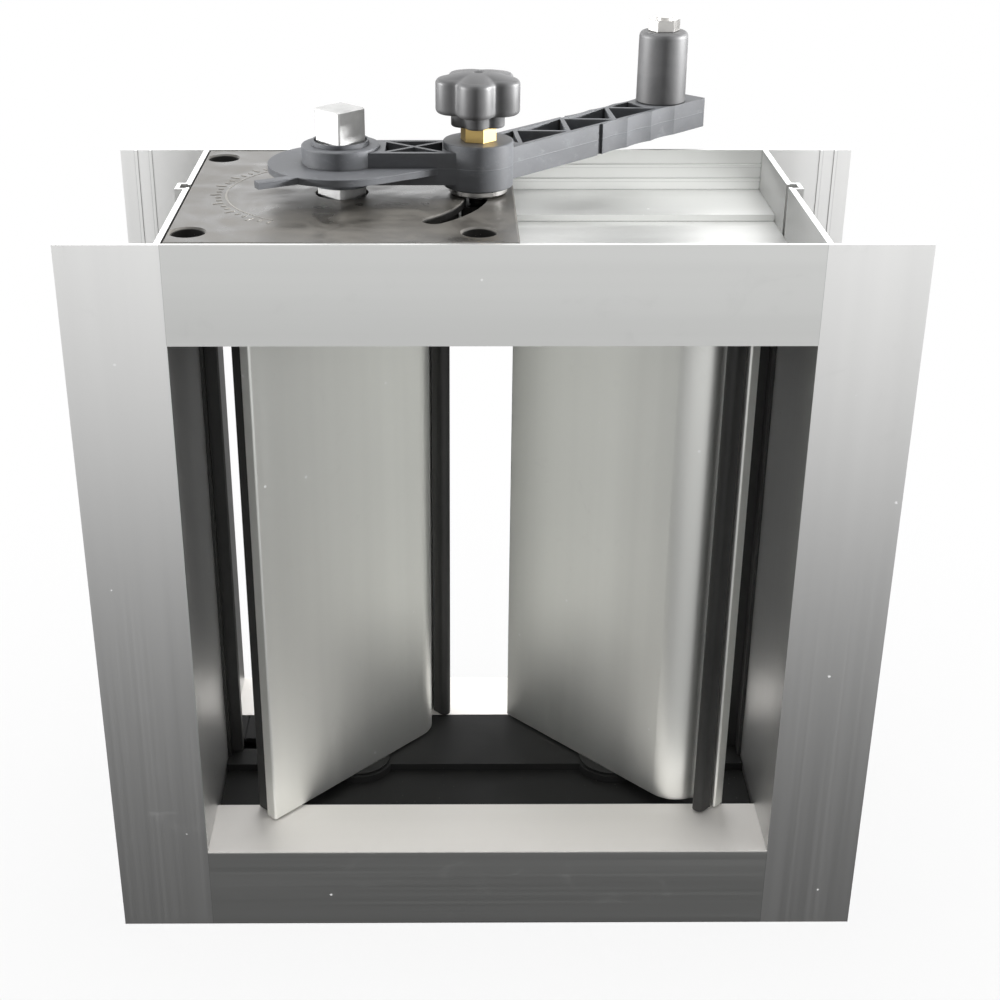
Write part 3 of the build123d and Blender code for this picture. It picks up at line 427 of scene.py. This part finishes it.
def extruded_aluminium(name, colour, along, roughness, matt=0.0, joint=None, lip=None):
    """Satin anodised extrusion: faint die lines along its length, etched grain, handling marks, specks,
    and painted shade in its inner corners.

    Faces that don't look along Y are rougher by the matt amount, as inner faces keep more of their etch,
    and those that look along X are painted darker, as shade. Where a joint is given, as a distance along
    X and the height from which it runs, a dark line of painted shade stands in for the gap where two
    members butt, beside a worn burr. Where a lip is given, the edge at that height gets a painted
    highlight.
    """
    finish = Finish(name, colour, roughness, metallic=1.0)
    die_lines = finish.noise(drawn_out(along, 5.0, 620.0), detail=1.0)
    bands = finish.spread(finish.noise(drawn_out(along, 1.5, 70.0), detail=2.0), 0.35, 0.65)
    grain = finish.noise(5200.0, detail=2.0)
    worn = finish.spread(finish.noise(46.0, detail=6.0, rough=0.7, distortion=1.6), 0.60, 0.74)
    specks = finish.specks(60.0, 0.038, 0.024)
    shade = finish.tint(bands, lighter(colour, 0.975), lighter(colour, 1.02))
    shade = finish.tint(worn, shade, lighter(colour, 0.80), share=0.14)
    shade = finish.tint(specks, shade, WHITE, share=0.8)
    # Painted shade: the extrusion is darker in its inner corners
    shade = finish.tint(finish.crease_shade(0.8 * MM), shade, lighter(colour, 0.25), share=0.5)
    gloss = finish.uneven(die_lines, roughness, less=0.014, more=0.014)
    gloss = finish.lift(gloss, worn, 0.05)
    gloss = finish.lift(gloss, specks, 0.4)
    if matt:
        facing = finish.node("ShaderNodeTexCoord").outputs["Normal"]
        inner = finish.spread(finish.away(finish.part("Y", facing)), 0.7, 0.3)
        # Painted shade: faces that look along X are darker
        side = finish.spread(finish.away(finish.part("X", facing)), 0.3, 0.7)
        gloss = finish.lift(gloss, inner, matt)
        shade = finish.tint(side, shade, lighter(colour, 0.62))
    if joint:
        across, rise = joint
        gap = finish.away(finish.away(finish.part("X")), across)
        met = finish.spread(finish.away(finish.part("Z")), rise, rise + 0.5 * MM)
        ragged = finish.noise((300.0, 300.0, 170.0), detail=4.0)
        ragged = finish.spread(ragged, 0.45, 0.75, 0.0, 0.5 * MM)
        burr = finish.spread(finish.combine(gap, ragged, "SUBTRACT"), 0.16 * MM, 0.08 * MM)
        # Painted shade: a dark line along the joint stands in for the shadow in the gap between the members
        gap_shade = finish.spread(gap, 0.22 * MM, 0.08 * MM)
        shade = finish.tint(finish.combine(burr, met), shade, WHITE, share=0.35)
        shade = finish.tint(finish.combine(gap_shade, met), shade, lighter(colour, 0.3), share=0.6)
    if lip:
        # Painted highlight: the edge at the lip's height is tinted near white
        below = finish.away(finish.part("Z"), lip)
        shine = finish.combine(finish.spread(below, 0.6 * MM, 0.3 * MM), 0.7)
        shade = finish.tint(shine, shade, LIP_GLINT)
        gloss = finish.lift(gloss, shine, 0.4)
    finish.bump(die_lines, 0.006 * MM, 0.2)
    finish.bump(grain, 0.008 * MM, 0.5)
    return finish.done(shade, gloss)


def moulded_plastic(name, colour, roughness, mottle=0.12, dust=0.0, specular=0.5):
    """Moulded plastic: a fine matt skin, cloudy flow marks, and pale dust where the amount asks for it."""
    finish = Finish(name, colour, roughness, specular=specular)
    skin = finish.noise(2600.0)
    flow = finish.noise((55.0, 55.0, 80.0), detail=5.0, rough=0.6, distortion=0.8)
    patches = finish.spread(finish.noise(30.0), 0.5, 0.62)
    settled = finish.combine(finish.specks(420.0, 0.10, 0.04), patches)
    shade = finish.tint(finish.spread(flow, 0.35, 0.68), lighter(colour, 1 - mottle),
                        lighter(colour, 1 + mottle))
    shade = finish.tint(settled, shade, PALE_DUST, share=dust)
    finish.bump(skin, 0.03 * MM, 0.5)
    return finish.done(shade, finish.uneven(flow, roughness))


def lever_plastic(name, colour, roughness, parting):
    """Glass-filled lever plastic: a coarse matt skin, pale scuffs, the ridge where the mould parts, and
    painted shade in its inner corners.
    """
    finish = Finish(name, colour, roughness, specular=0.35)
    skin = finish.noise(1500.0, detail=4.0, rough=0.7)
    flow = finish.noise((38.0, 38.0, 70.0), detail=5.0, rough=0.6, distortion=1.0)
    scuffs = finish.spread(finish.noise((160.0, 160.0, 260.0), detail=6.0, rough=0.75), 0.56, 0.74)
    ridge = finish.spread(finish.away(finish.away(finish.part("Z")), parting), 0.22 * MM, 0.05 * MM)
    shade = finish.tint(finish.spread(flow, 0.35, 0.68), lighter(colour, 0.86), lighter(colour, 1.16))
    shade = finish.tint(scuffs, shade, lighter(colour, 2.4), share=0.35)
    shade = finish.tint(ridge, shade, lighter(colour, 1.8), share=0.25)
    # Painted shade: the lever is darker in its inner corners
    shade = finish.tint(finish.crease_shade(1.2 * MM), shade, lighter(colour, 0.3), share=0.7)
    finish.bump(ridge, 0.08 * MM, 0.8)
    finish.bump(skin, 0.03 * MM, 0.5)
    return finish.done(shade, finish.uneven(flow, roughness))


def smeared_plastic(name, colour, roughness, top):
    """Glossy dark cover plastic with wiped smears, fine dust and a slight waviness from the mould.

    Under its top face it is dark and matt, as its slot, its wells and its edges see little light.
    """
    finish = Finish(name, colour, roughness, specular=0.45)
    smears = finish.noise((58.0, 44.0, 40.0), detail=2.0, rough=0.5, distortion=1.4)
    wipes = finish.noise((24.0, 95.0, 30.0), distortion=0.6)
    film = finish.combine(finish.spread(smears, 0.36, 0.66), finish.spread(wipes, 0.3, 0.7), "ADD")
    hidden = finish.spread(finish.part("Z"), top - 0.3 * MM, top - 0.9 * MM)
    shade = finish.tint(finish.spread(film, 0.2, 1.7), lighter(colour, 0.65), lighter(colour, 2.0))
    shade = finish.tint(hidden, shade, lighter(colour, 0.1), share=0.95)
    shade = finish.tint(finish.specks(700.0, 0.09, 0.03), shade, WARM_DUST, share=0.5)
    gloss = finish.spread(film, 0.1, 1.6, roughness - 0.08, roughness + 0.16)
    gloss = finish.lift(gloss, hidden, 0.5)
    finish.bump(finish.noise(2200.0), 0.01 * MM, 0.35)
    finish.bump(finish.noise(26.0, detail=1.0), 0.4 * MM, 0.12)
    return finish.done(shade, gloss)


def seal_rubber(name, colour, roughness):
    """Soft extruded rubber: fine lines along its length, a bloom of pale dust, low gloss."""
    finish = Finish(name, colour, roughness)
    lines = finish.noise(drawn_out("Z", 14.0, 1800.0))
    bloom = finish.noise((60.0, 60.0, 26.0), detail=5.0, rough=0.65)
    shade = finish.tint(finish.spread(bloom, 0.42, 0.72), colour, lighter(colour, 1.9))
    finish.bump(lines, 0.03 * MM, 0.5)
    return finish.done(shade, finish.uneven(bloom, roughness, less=0.06, more=0.1))


def machined_metal(name, colour, roughness):
    """Bright machined or plated metal with fine tool marks and slightly uneven gloss."""
    finish = Finish(name, colour, roughness, metallic=1.0)
    tool_marks = finish.noise(drawn_out("Z", 500.0, 3000.0))
    tarnish = finish.noise(120.0, detail=5.0, rough=0.65)
    shade = finish.tint(finish.spread(tarnish, 0.35, 0.75), lighter(colour, 1.04), lighter(colour, 0.84))
    finish.bump(tool_marks, 0.01 * MM, 0.5)
    return finish.done(shade, finish.uneven(tarnish, roughness))


def dress(names, material):
    """Give one material to carried-over nodes."""
    for name in names:
        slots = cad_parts[name].data.materials
        slots.clear()
        slots.append(material)


# Settings that a user would change

def colour_setting(label, note, value):
    """A colour."""
    return bpy.props.FloatVectorProperty(name=label, description=note, default=value, size=3,
                                         min=0.0, max=1.0, subtype="COLOR")


def number_setting(label, note, value, **limits):
    """A number, with the kind and the limits that are given."""
    return bpy.props.FloatProperty(name=label, description=note, default=value, **limits)


def length_setting(label, note, value):
    """A length in metres."""
    return number_setting(label, note, value, unit="LENGTH")


def share_setting(label, note, value):
    """A share from nothing to one."""
    return number_setting(label, note, value, min=0.0, max=1.0, subtype="FACTOR")


def angle_setting(label, note, degrees):
    """An angle."""
    return number_setting(label, note, math.radians(degrees), subtype="ANGLE")


def slope_setting(label, note, value):
    """A part of a direction, from -1 to 1."""
    return number_setting(label, note, value, min=-1.0, max=1.0)


def bright_setting(label, note, value):
    """A brightness, where white is one."""
    return number_setting(label, note, value, min=0.0)


def watt_setting(label, note, value):
    """A lamp's power in watts."""
    return number_setting(label, note, value, min=0.0, unit="POWER")


class DamperFinish(bpy.types.PropertyGroup):
    """Colours and gloss of the damper's materials."""

    upright_colour: colour_setting("Uprights", "Anodised side members", (0.90, 0.90, 0.89))
    # The rails are the same anodised extrusion as the uprights, given a darker copy of its colour as painted
    # shade
    rail_colour: colour_setting("Rails", "Anodised top and bottom members", (0.72, 0.725, 0.712))
    frame_roughness: share_setting("Frame roughness", "Satin of the frame members", 0.30)
    inner_matt: share_setting("Inner matt", "How much rougher the inner faces of the frame are", 0.13)
    blade_colour: colour_setting("Blades", "Anodised blade extrusions", (0.86, 0.865, 0.835))
    blade_roughness: share_setting("Blade roughness", "Satin of the blades", 0.44)
    cover_colour: colour_setting("Covers", "Black trough covers, hubs and gears", (0.018, 0.018, 0.018))
    base_colour: colour_setting("Quadrant base", "Dark glossy quadrant base", (0.066, 0.062, 0.055))
    lever_colour: colour_setting("Lever", "Grey moulded lever", (0.105, 0.109, 0.117))
    knob_colour: colour_setting("Knob and grip", "Grey moulded knob and grip", (0.072, 0.072, 0.074))
    parting_height: length_setting("Parting height", "Height of the mould's parting line on the lever",
                                   7.5 * MM)
    seal_colour: colour_setting("Seals", "Dark rubber seals", (0.022, 0.022, 0.021))
    shaft_colour: colour_setting("Shaft", "Bright square shaft", (0.44, 0.44, 0.435))
    steel_colour: colour_setting("Fasteners", "Zinc plated steel", (0.50, 0.49, 0.475))
    bolt_colour: colour_setting("Clamp bolt", "Dark oiled steel", (0.02, 0.019, 0.018))
    brass_colour: colour_setting("Insert", "Brass knob insert", (0.50, 0.36, 0.14))


class DamperKnob(bpy.types.PropertyGroup):
    """Sizes of the clamp knob's star shape and of the turned grip."""

    lobes: bpy.props.IntProperty(name="Lobes", description="Number of lobes round the knob", default=5,
                                 min=3, max=9)
    lobe_radius: length_setting("Lobe radius", "Radius of one lobe", 5.6 * MM)
    core_radius: length_setting("Core radius", "Radius of the knob between lobes", 10.8 * MM)
    valley_blend: length_setting("Valley blend", "Softness of the valleys", 1.3 * MM)
    lobe_turn: angle_setting("Lobe turn", "Direction of the first lobe", 263.0)
    collar_scale: share_setting("Collar scale", "Collar outline as a share of the head's", 0.64)
    head_share: share_setting("Head share", "Share of the knob's height that the head takes", 0.749)
    edge_radius: length_setting("Edge radius", "Rounding of the head's edges", 1.7 * MM)
    dome: length_setting("Dome", "Rise of the top from its edge to its middle", 1.5 * MM)
    dimple_radius: length_setting("Dimple radius", "Radius of the dimple in the top", 1.5 * MM)
    bore_radius: length_setting("Bore radius", "Radius of the bore for the insert", 6.0 * MM)
    grip_edge: length_setting("Grip edge", "Rounding of the grip's top edge", 2.0 * MM)
    grip_bore: length_setting("Grip bore", "Radius of the grip's bore", 3.1 * MM)


class DamperScale(bpy.types.PropertyGroup):
    """Sizes of the raised angle scale on the quadrant base."""

    radius: length_setting("Radius", "Inner radius of the ticks about the shaft", 40.5 * MM)
    first_angle: angle_setting("First angle", "Direction of the first tick", 124.0)
    last_angle: angle_setting("Last angle", "Direction of the last tick", 239.0)
    step: angle_setting("Step", "Angle from one tick to the next", 5.0)
    short_tick: length_setting("Short tick", "Length of a short tick", 2.2 * MM)
    long_tick: length_setting("Long tick", "Length of every third tick", 4.0 * MM)
    tick_width: length_setting("Tick width", "Width of a tick", 0.9 * MM)
    height: length_setting("Height", "How far the relief stands proud", 0.18 * MM)
    line_gap: length_setting("Line gap", "From the inner line to the ticks", 1.6 * MM)


class DamperStage(bpy.types.PropertyGroup):
    """Camera, floor, room and lights."""

    lens: number_setting("Lens", "Focal length in millimetres", 59.47)
    floor_colour: colour_setting("Floor", "Pale floor", (0.9, 0.9, 0.9))
    floor_cover: share_setting("Floor cover", "How solid the floor is beside the damper", 0.12)
    floor_reach: length_setting("Floor reach", "How far the floor goes on past the damper", 0.3)
    ambient: bright_setting("Ambient", "Strength of the even light all round", 0.16)
    lower_room: share_setting("Lower room", "Light that comes from below, as a share of white", 0.045)
    dark_below: slope_setting("Dark below", "Height of a direction under which the room is dark", -0.28)
    white_above: slope_setting("White above", "Height of a direction over which it is white", -0.03)
    front_tilt: slope_setting("Front tilt", "How much lower the dark stays at the front", 0.30)
    back_tilt: slope_setting("Back tilt", "How much higher the dark reaches at the back", 0.15)
    right_tilt: slope_setting("Right tilt", "How much brighter the room is at the right", 0.16)
    glow: bright_setting("Glow", "Brightness of the band over the horizon", 2.2)
    overhead: bright_setting("Overhead", "Brightness of the room far above the band", 0.8)
    top_power: watt_setting("Top light", "Soft light above", 8.4)
    left_power: watt_setting("Left light", "Soft light on the left", 1.05)
    right_power: watt_setting("Right light", "Soft light on the right", 1.9)
    side_height: length_setting("Side lights", "Height of the side lights over the lever", 0.09)
    beam: angle_setting("Beam", "Spread of the side lights over the lever", 18.0)


# Operators, one for each group of like pieces and one for the stage

class DAMPER_OT_dress_aluminium(bpy.types.Operator):
    """Give the frame and the blades their satin anodised finish"""

    bl_idname = "damper.dress_aluminium"
    bl_label = "Dress Aluminium"

    def execute(self, context):
        finish = context.scene.damper_finish
        gloss = finish.frame_roughness
        matt = finish.inner_matt
        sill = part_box("frame_bottom")[1][2]
        joint = (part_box("frame_right")[0][0], -sill)
        dress(UPRIGHTS, extruded_aluminium("satin_upright", tuple(finish.upright_colour), "Z", gloss, matt,
                                           joint))
        dress(RAILS, extruded_aluminium("satin_rail", tuple(finish.rail_colour), "X", gloss, matt,
                                        lip=sill))
        dress(BLADES, extruded_aluminium("satin_blade", tuple(finish.blade_colour), "Z",
                                         finish.blade_roughness))
        return {"FINISHED"}


class DAMPER_OT_dress_plastics(bpy.types.Operator):
    """Give the covers, hubs, gears, quadrant base and lever their moulded plastic, and the seals rubber"""

    bl_idname = "damper.dress_plastics"
    bl_label = "Dress Plastics"

    def execute(self, context):
        finish = context.scene.damper_finish
        dress(COVERS + HUBS + GEARS, moulded_plastic("black_moulding", tuple(finish.cover_colour),
                                                     roughness=0.62, dust=0.25, specular=0.22))
        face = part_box("quadrant_base")[1][2]
        dress(("quadrant_base",), smeared_plastic("smeared_base", tuple(finish.base_colour),
                                                  roughness=0.30, top=face))
        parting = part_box("lever")[0][2] + finish.parting_height
        dress(("lever",), lever_plastic("grey_lever", tuple(finish.lever_colour),
                                        roughness=0.54, parting=parting))
        dress(SEALS, seal_rubber("dark_rubber", tuple(finish.seal_colour), roughness=0.5))
        return {"FINISHED"}


class DAMPER_OT_dress_metal(bpy.types.Operator):
    """Give the shaft, the fasteners and the brass insert their metal"""

    bl_idname = "damper.dress_metal"
    bl_label = "Dress Metal"

    def execute(self, context):
        finish = context.scene.damper_finish
        metals = ((("drive_shaft",), "bright_shaft", finish.shaft_colour, 0.55),
                  (("clamp_bolt",), "dark_steel", finish.bolt_colour, 0.6),
                  (STEEL, "zinc_steel", finish.steel_colour, 0.28),
                  (("knob_insert",), "brass", finish.brass_colour, 0.4))
        for names, metal, colour, roughness in metals:
            dress(names, machined_metal(metal, tuple(colour), roughness))
        return {"FINISHED"}


class DAMPER_OT_build_knob(bpy.types.Operator):
    """Build the star knob as one lobed surface with rounded edges, a low dome and a dimple"""

    bl_idname = "damper.build_knob"
    bl_label = "Build Knob"

    def execute(self, context):
        sizes = context.scene.damper_knob
        colour = tuple(context.scene.damper_finish.knob_colour)
        low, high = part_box("clamp_knob")
        insert_low, insert_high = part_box("knob_insert")
        centre = np.array((insert_low + insert_high)[:2]) / 2
        tip = (high[0] - low[0]) / 2 * LOBE_TIP
        angle = full_turn(KNOB_POINTS)
        outline = lobed_radius(angle - sizes.lobe_turn, sizes.lobes, tip, sizes.lobe_radius,
                               sizes.core_radius, sizes.valley_blend)
        head_bottom = high[2] - (high[2] - low[2]) * sizes.head_share
        rim_height = high[2] - sizes.dome
        bore_top = insert_high[2]
        bore = sizes.bore_radius
        collar = sizes.collar_scale
        edge = sizes.edge_radius
        turn = np.linspace(0.0, math.pi / 2, EDGE_STEPS)
        rise = 1 - np.cos(turn)
        run = 1 - np.sin(turn)
        # The bore, the collar's lower edge, its neck, and the head's lower and upper edge
        rows = np.concatenate((
            profile_rows(0.0, (bore / 2, bore, bore), (bore_top, bore_top, low[2])),
            profile_rows(collar, -edge / 2 * run, low[2] + edge / 2 * rise),
            profile_rows((collar, collar * NECK_FLARE), 0.0, (head_bottom - NECK_HEIGHT, head_bottom)),
            profile_rows(1.0, -edge * run, head_bottom + edge * rise),
            profile_rows(1.0, -edge * rise, rim_height - edge * run)))
        radius = rows[:, 0:1] * outline + rows[:, 1:2]
        sides = turned(centre, angle, radius, rows[:, 2:3])
        # The top's rings shrink from the outline towards a circle while they rise to the dome
        inward = np.linspace(1.0, 0.0, DOME_RINGS)[1:-1, None]
        rim = radius[-1]
        reach = inward * (rim * inward + rim.mean() * (1 - inward))
        dimple = np.exp(-(reach / sizes.dimple_radius) ** 4) * DIMPLE_DEPTH
        top = turned(centre, angle, reach, high[2] - sizes.dome * inward ** DOME_POWER - dimple)
        points, faces = ring_stack(np.concatenate((sides, top)))
        material = moulded_plastic("grey_knob", colour, roughness=0.50, mottle=0.14, specular=0.45)
        knob = put_mesh("star_knob", points, faces, material, "knob")
        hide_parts("clamp_knob")
        return {"FINISHED"}


class DAMPER_OT_build_grip(bpy.types.Operator):
    """Build the turned grip as one profile carried round the screw's axis"""

    bl_idname = "damper.build_grip"
    bl_label = "Build Grip"

    def execute(self, context):
        sizes = context.scene.damper_knob
        colour = tuple(context.scene.damper_finish.knob_colour)
        low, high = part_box("grip_sleeve")
        centre = np.array((low + high)[:2]) / 2
        base = (high[0] - low[0]) / 2
        top = base * GRIP_TAPER
        foot = base - 0.2 * MM
        bore = sizes.grip_bore
        # Out along the foot, up the side, over the top edge and down the bore, then each corner's rounding
        profile = rounded([(bore, low[2]), (foot, low[2]), (foot, low[2] + MM),
                           (top + 0.1 * MM, high[2] - 4.0 * MM), (top, high[2]),
                           (bore + 0.4 * MM, high[2]), (bore, high[2] - 0.5 * MM), (bore, low[2] + MM)],
                          [0.3 * MM, 0.4 * MM, 4.0 * MM, sizes.grip_edge, 0.3 * MM, 0.3 * MM], steps=9)
        rings = turned(centre, full_turn(GRIP_POINTS), profile[:, :1], profile[:, 1:])
        faces = wall_faces(*rings.shape[:2], closed=True)
        material = moulded_plastic("grey_grip", colour, roughness=0.50, mottle=0.16, specular=0.45)
        grip = put_mesh("turned_grip", rings.reshape(-1, 3), [faces], material, "grip")
        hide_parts("grip_sleeve")
        return {"FINISHED"}


class DAMPER_OT_build_scale(bpy.types.Operator):
    """Build the raised angle scale that the lever's finger points to: plain ticks and an inner line"""

    bl_idname = "damper.build_scale"
    bl_label = "Build Scale"

    def execute(self, context):
        sizes = context.scene.damper_scale
        shaft_low, shaft_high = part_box("drive_shaft")
        centre = np.array((shaft_low + shaft_high)[:2]) / 2
        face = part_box("quadrant_base")[1][2]
        angles = np.arange(sizes.first_angle, sizes.last_angle + sizes.step / 2, sizes.step)
        long = np.arange(len(angles)) % LONG_EVERY == 0
        lengths = np.where(long, sizes.long_tick, sizes.short_tick)
        column = full_turn(TICK_POINTS)
        lengthwise, sideways = TICK_SQUARENESS
        outline = np.stack((signed_power(np.cos(column), lengthwise),
                            signed_power(np.sin(column), sideways)), axis=-1)
        rows = np.array(TICK_RINGS)
        along = (rows[:, None, None, 0] * outline[None, None, :, 0] * lengths[None, :, None] / 2
                 + (sizes.radius + lengths / 2)[None, :, None])
        across = (rows[:, None, None, 0] * outline[None, None, :, 1] * sizes.tick_width / 2
                  + np.zeros_like(along))
        direction = np.stack((np.cos(angles), np.sin(angles)), axis=-1)[None, :, None]
        side = np.stack((-np.sin(angles), np.cos(angles)), axis=-1)[None, :, None]
        flat = centre + along[..., None] * direction + across[..., None] * side
        level = np.broadcast_to(face + rows[:, None, None, 1:] * sizes.height, flat.shape[:3] + (1,))
        rings = np.concatenate((flat, level), axis=-1).transpose(1, 0, 2, 3)
        points, faces = ring_stack(rings[0])
        stacks = np.concatenate([ring_stack(ring)[0][None] for ring in rings])
        shift = np.arange(len(rings))[:, None, None] * len(points)
        tick_faces = [(block[None] + shift).reshape(-1, block.shape[1]) for block in faces]
        # Painted light: the relief is a lighter copy of the base's plastic
        colour = tuple(context.scene.damper_finish.base_colour)
        material = moulded_plastic("scale_relief", lighter(colour, RELIEF_LIGHTER), roughness=0.38,
                                   mottle=0.25)
        put_mesh("angle_scale", stacks.reshape(-1, 3), tick_faces, material, "frame")

        # The inner line is a low rounded bead carried along the arc, closed at both ends
        sweep = np.linspace(sizes.first_angle, sizes.last_angle, LINE_POINTS)
        section = full_turn(LINE_SECTION_POINTS)
        radius = sizes.radius - sizes.line_gap + np.cos(section) * sizes.tick_width * LINE_HALF_WIDTH
        height = face + np.sin(section) * sizes.height * LINE_HALF_HEIGHT
        arc = turned(centre, sweep[:, None], radius, height)
        arc_points, arc_faces = ring_stack(arc[::-1])
        put_mesh("scale_line", arc_points, arc_faces, material, "frame")
        return {"FINISHED"}


class DAMPER_OT_set_stage(bpy.types.Operator):
    """Set the pale floor, the soft lights and the camera"""

    bl_idname = "damper.set_stage"
    bl_label = "Set Stage"

    def execute(self, context):
        stage = context.scene.damper_stage
        scene = context.scene
        scene.view_settings.view_transform = "Standard"
        self.lay_floor(stage)
        scene.world = self.light_room(stage)

        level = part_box("lever")[1][2] + stage.side_height
        self.add_light("top_light", TOP_LIGHT_PLACE, TOP_LIGHT_SIZE, stage.top_power, math.pi,
                       TOP_LIGHT_AIM)
        self.add_light("left_light", (-SIDE_LIGHT_AWAY, 0.0, level), SIDE_LIGHT_SIZE, stage.left_power,
                       stage.beam, level)
        self.add_light("right_light", (SIDE_LIGHT_AWAY, 0.0, level), SIDE_LIGHT_SIZE,
                       stage.right_power, stage.beam, level)
        self.place_camera(stage)
        return {"FINISHED"}

    def place_camera(self, stage):
        """Place the camera that sees the damper as the photo does."""
        data = bpy.data.cameras.new("camera")
        data.lens = stage.lens
        data.sensor_width = SENSOR_WIDTH
        data.shift_x, data.shift_y = CAMERA_SHIFT
        camera = bpy.data.objects.new("camera", data)
        bpy.context.scene.collection.objects.link(camera)
        yaw, pitch, roll = CAMERA_TURN
        forward = Vector((math.sin(yaw) * math.cos(pitch), math.cos(yaw) * math.cos(pitch),
                          -math.sin(pitch)))
        right = Vector((math.cos(yaw), -math.sin(yaw), 0.0))
        up = right.cross(forward)
        rolled_right = right * math.cos(roll) + up * math.sin(roll)
        rolled_up = up * math.cos(roll) - right * math.sin(roll)
        turn = Matrix((rolled_right, rolled_up, -forward)).transposed()
        camera.matrix_world = Matrix.Translation(CAMERA_PLACE) @ turn.to_4x4()
        bpy.context.scene.camera = camera

    def lay_floor(self, stage):
        """Lay a pale floor that fades out round the damper, a grid with its cover as an attribute.

        The cover is the floor's share at a point: the most it may be near the damper, falling smoothly
        to nothing at the floor's edge as (1 - d / reach) squared, where d is the distance from the
        damper's footprint.
        """
        low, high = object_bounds()
        reach = stage.floor_reach
        span = np.linspace(-1.0, 1.0, FLOOR_POINTS)
        across, along = np.meshgrid(span * (high[0] + reach), span * (high[1] + reach))
        level = np.full_like(across, low[2])
        gap = np.hypot(np.maximum(np.abs(across) - high[0], 0.0),
                       np.maximum(np.abs(along) - HALF_DEPTH, 0.0))
        cover = stage.floor_cover * np.clip(1.0 - gap / reach, 0.0, 1.0) ** 2
        points = np.stack((across, along, level), axis=-1).reshape(-1, 3)
        step = np.arange(FLOOR_POINTS - 1)
        first = (step[:, None] * FLOOR_POINTS + step[None, :]).reshape(-1)
        faces = np.stack((first, first + 1, first + FLOOR_POINTS + 1, first + FLOOR_POINTS), axis=-1)
        finish = Finish("pale_floor", tuple(stage.floor_colour), roughness=0.9, specular=0.0)
        share = finish.node("ShaderNodeAttribute", attribute_name="cover")
        finish.join(share.outputs["Fac"], finish.shader, "Alpha")
        floor = put_mesh("floor", points, [faces], finish.done(), None)
        floor.visible_glossy = False
        layer = floor.data.attributes.new("cover", "FLOAT", "POINT")
        layer.data.foreach_set("value", cover.reshape(-1).astype(np.float32))
        floor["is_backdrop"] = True

    def light_room(self, stage):
        """Light the room: white as the camera sees it, and elsewhere white above and grey below.

        What the damper's gloss reflects is brighter in a band over the horizon and at the right.
        """
        world = bpy.data.worlds.new("soft_room")
        world.use_nodes = True
        room = NodeWork(world.node_tree, "Generated")
        room.tree.nodes.remove(room.tree.nodes["Background"])
        right, back, up = (room.part(name) for name in "XYZ")
        level = room.lift(up, room.combine(back, 0.0, "MINIMUM"), -stage.front_tilt)
        level = room.lift(level, room.combine(back, 0.0, "MAXIMUM"), -stage.back_tilt)
        shade = room.spread(level, stage.dark_below, stage.white_above, stage.lower_room, 1.0,
                            "SMOOTHSTEP")
        strength = room.lift(1.0, right, stage.right_tilt)
        for (low, high), bright in ((GLOW_RISE, stage.glow),
                                    (OVERHEAD_RISE, stage.overhead / stage.glow)):
            strength = room.combine(strength, room.spread(up, low, high, 1.0, bright, "SMOOTHSTEP"))
        even = room.background(shade, stage.ambient)
        shone = room.background(shade, strength)
        white = room.background((*WHITE, 1.0), 1.0)
        path = room.node("ShaderNodeLightPath").outputs
        gloss_or_glass = room.combine(path["Is Glossy Ray"], path["Is Transmission Ray"], "MAXIMUM")
        seen = room.choose(path["Is Camera Ray"], room.choose(gloss_or_glass, even, shone), white)
        room.join(seen, room.tree.nodes["World Output"], "Surface")
        return world

    def add_light(self, name, place, size, power, spread, height):
        """Add a rectangular soft light that faces the damper's middle line at a height."""
        data = bpy.data.lights.new(name, "AREA")
        data.shape = "RECTANGLE"
        data.size, data.size_y = size
        data.energy = power
        data.spread = spread
        lamp = bpy.data.objects.new(name, data)
        bpy.context.scene.collection.objects.link(lamp)
        aim = Vector((0.0, 0.0, height)) - Vector(place)
        lamp.matrix_world = Matrix.Translation(place) @ aim.to_track_quat("-Z", "Y").to_matrix().to_4x4()


class DAMPER_PT_panel(bpy.types.Panel):
    """Sidebar panel that lists the damper's operators and settings"""

    bl_idname = "DAMPER_PT_panel"
    bl_label = "Damper"
    bl_space_type = "VIEW_3D"
    bl_region_type = "UI"
    bl_category = "Damper"

    def draw(self, context):
        for operator in OPERATORS:
            self.layout.operator(operator.bl_idname, text=operator.bl_label)
        for group, name in SETTINGS:
            box = self.layout.box()
            box.label(text=group.__name__)
            for setting in group.__annotations__:
                box.prop(getattr(context.scene, name), setting)


OPERATORS = (DAMPER_OT_dress_aluminium, DAMPER_OT_dress_plastics, DAMPER_OT_dress_metal,
             DAMPER_OT_build_knob, DAMPER_OT_build_grip, DAMPER_OT_build_scale, DAMPER_OT_set_stage)
SETTINGS = ((DamperFinish, "damper_finish"), (DamperKnob, "damper_knob"), (DamperScale, "damper_scale"),
            (DamperStage, "damper_stage"))


def register():
    """Register the settings, the operators and the panel."""
    for group, name in SETTINGS:
        bpy.utils.register_class(group)
        setattr(bpy.types.Scene, name, bpy.props.PointerProperty(type=group))
    for operator in OPERATORS:
        bpy.utils.register_class(operator)
    bpy.utils.register_class(DAMPER_PT_panel)


def unregister():
    """Take the panel, the operators and the settings out again."""
    bpy.utils.unregister_class(DAMPER_PT_panel)
    for operator in reversed(OPERATORS):
        bpy.utils.unregister_class(operator)
    for group, name in reversed(SETTINGS):
        delattr(bpy.types.Scene, name)
        bpy.utils.unregister_class(group)


def main():
    register()
    bpy.ops.damper.dress_aluminium()
    bpy.ops.damper.dress_plastics()
    bpy.ops.damper.dress_metal()
    bpy.ops.damper.build_knob()
    bpy.ops.damper.build_grip()
    bpy.ops.damper.build_scale()
    bpy.ops.damper.set_stage()


if __name__ == "__main__":
    main()
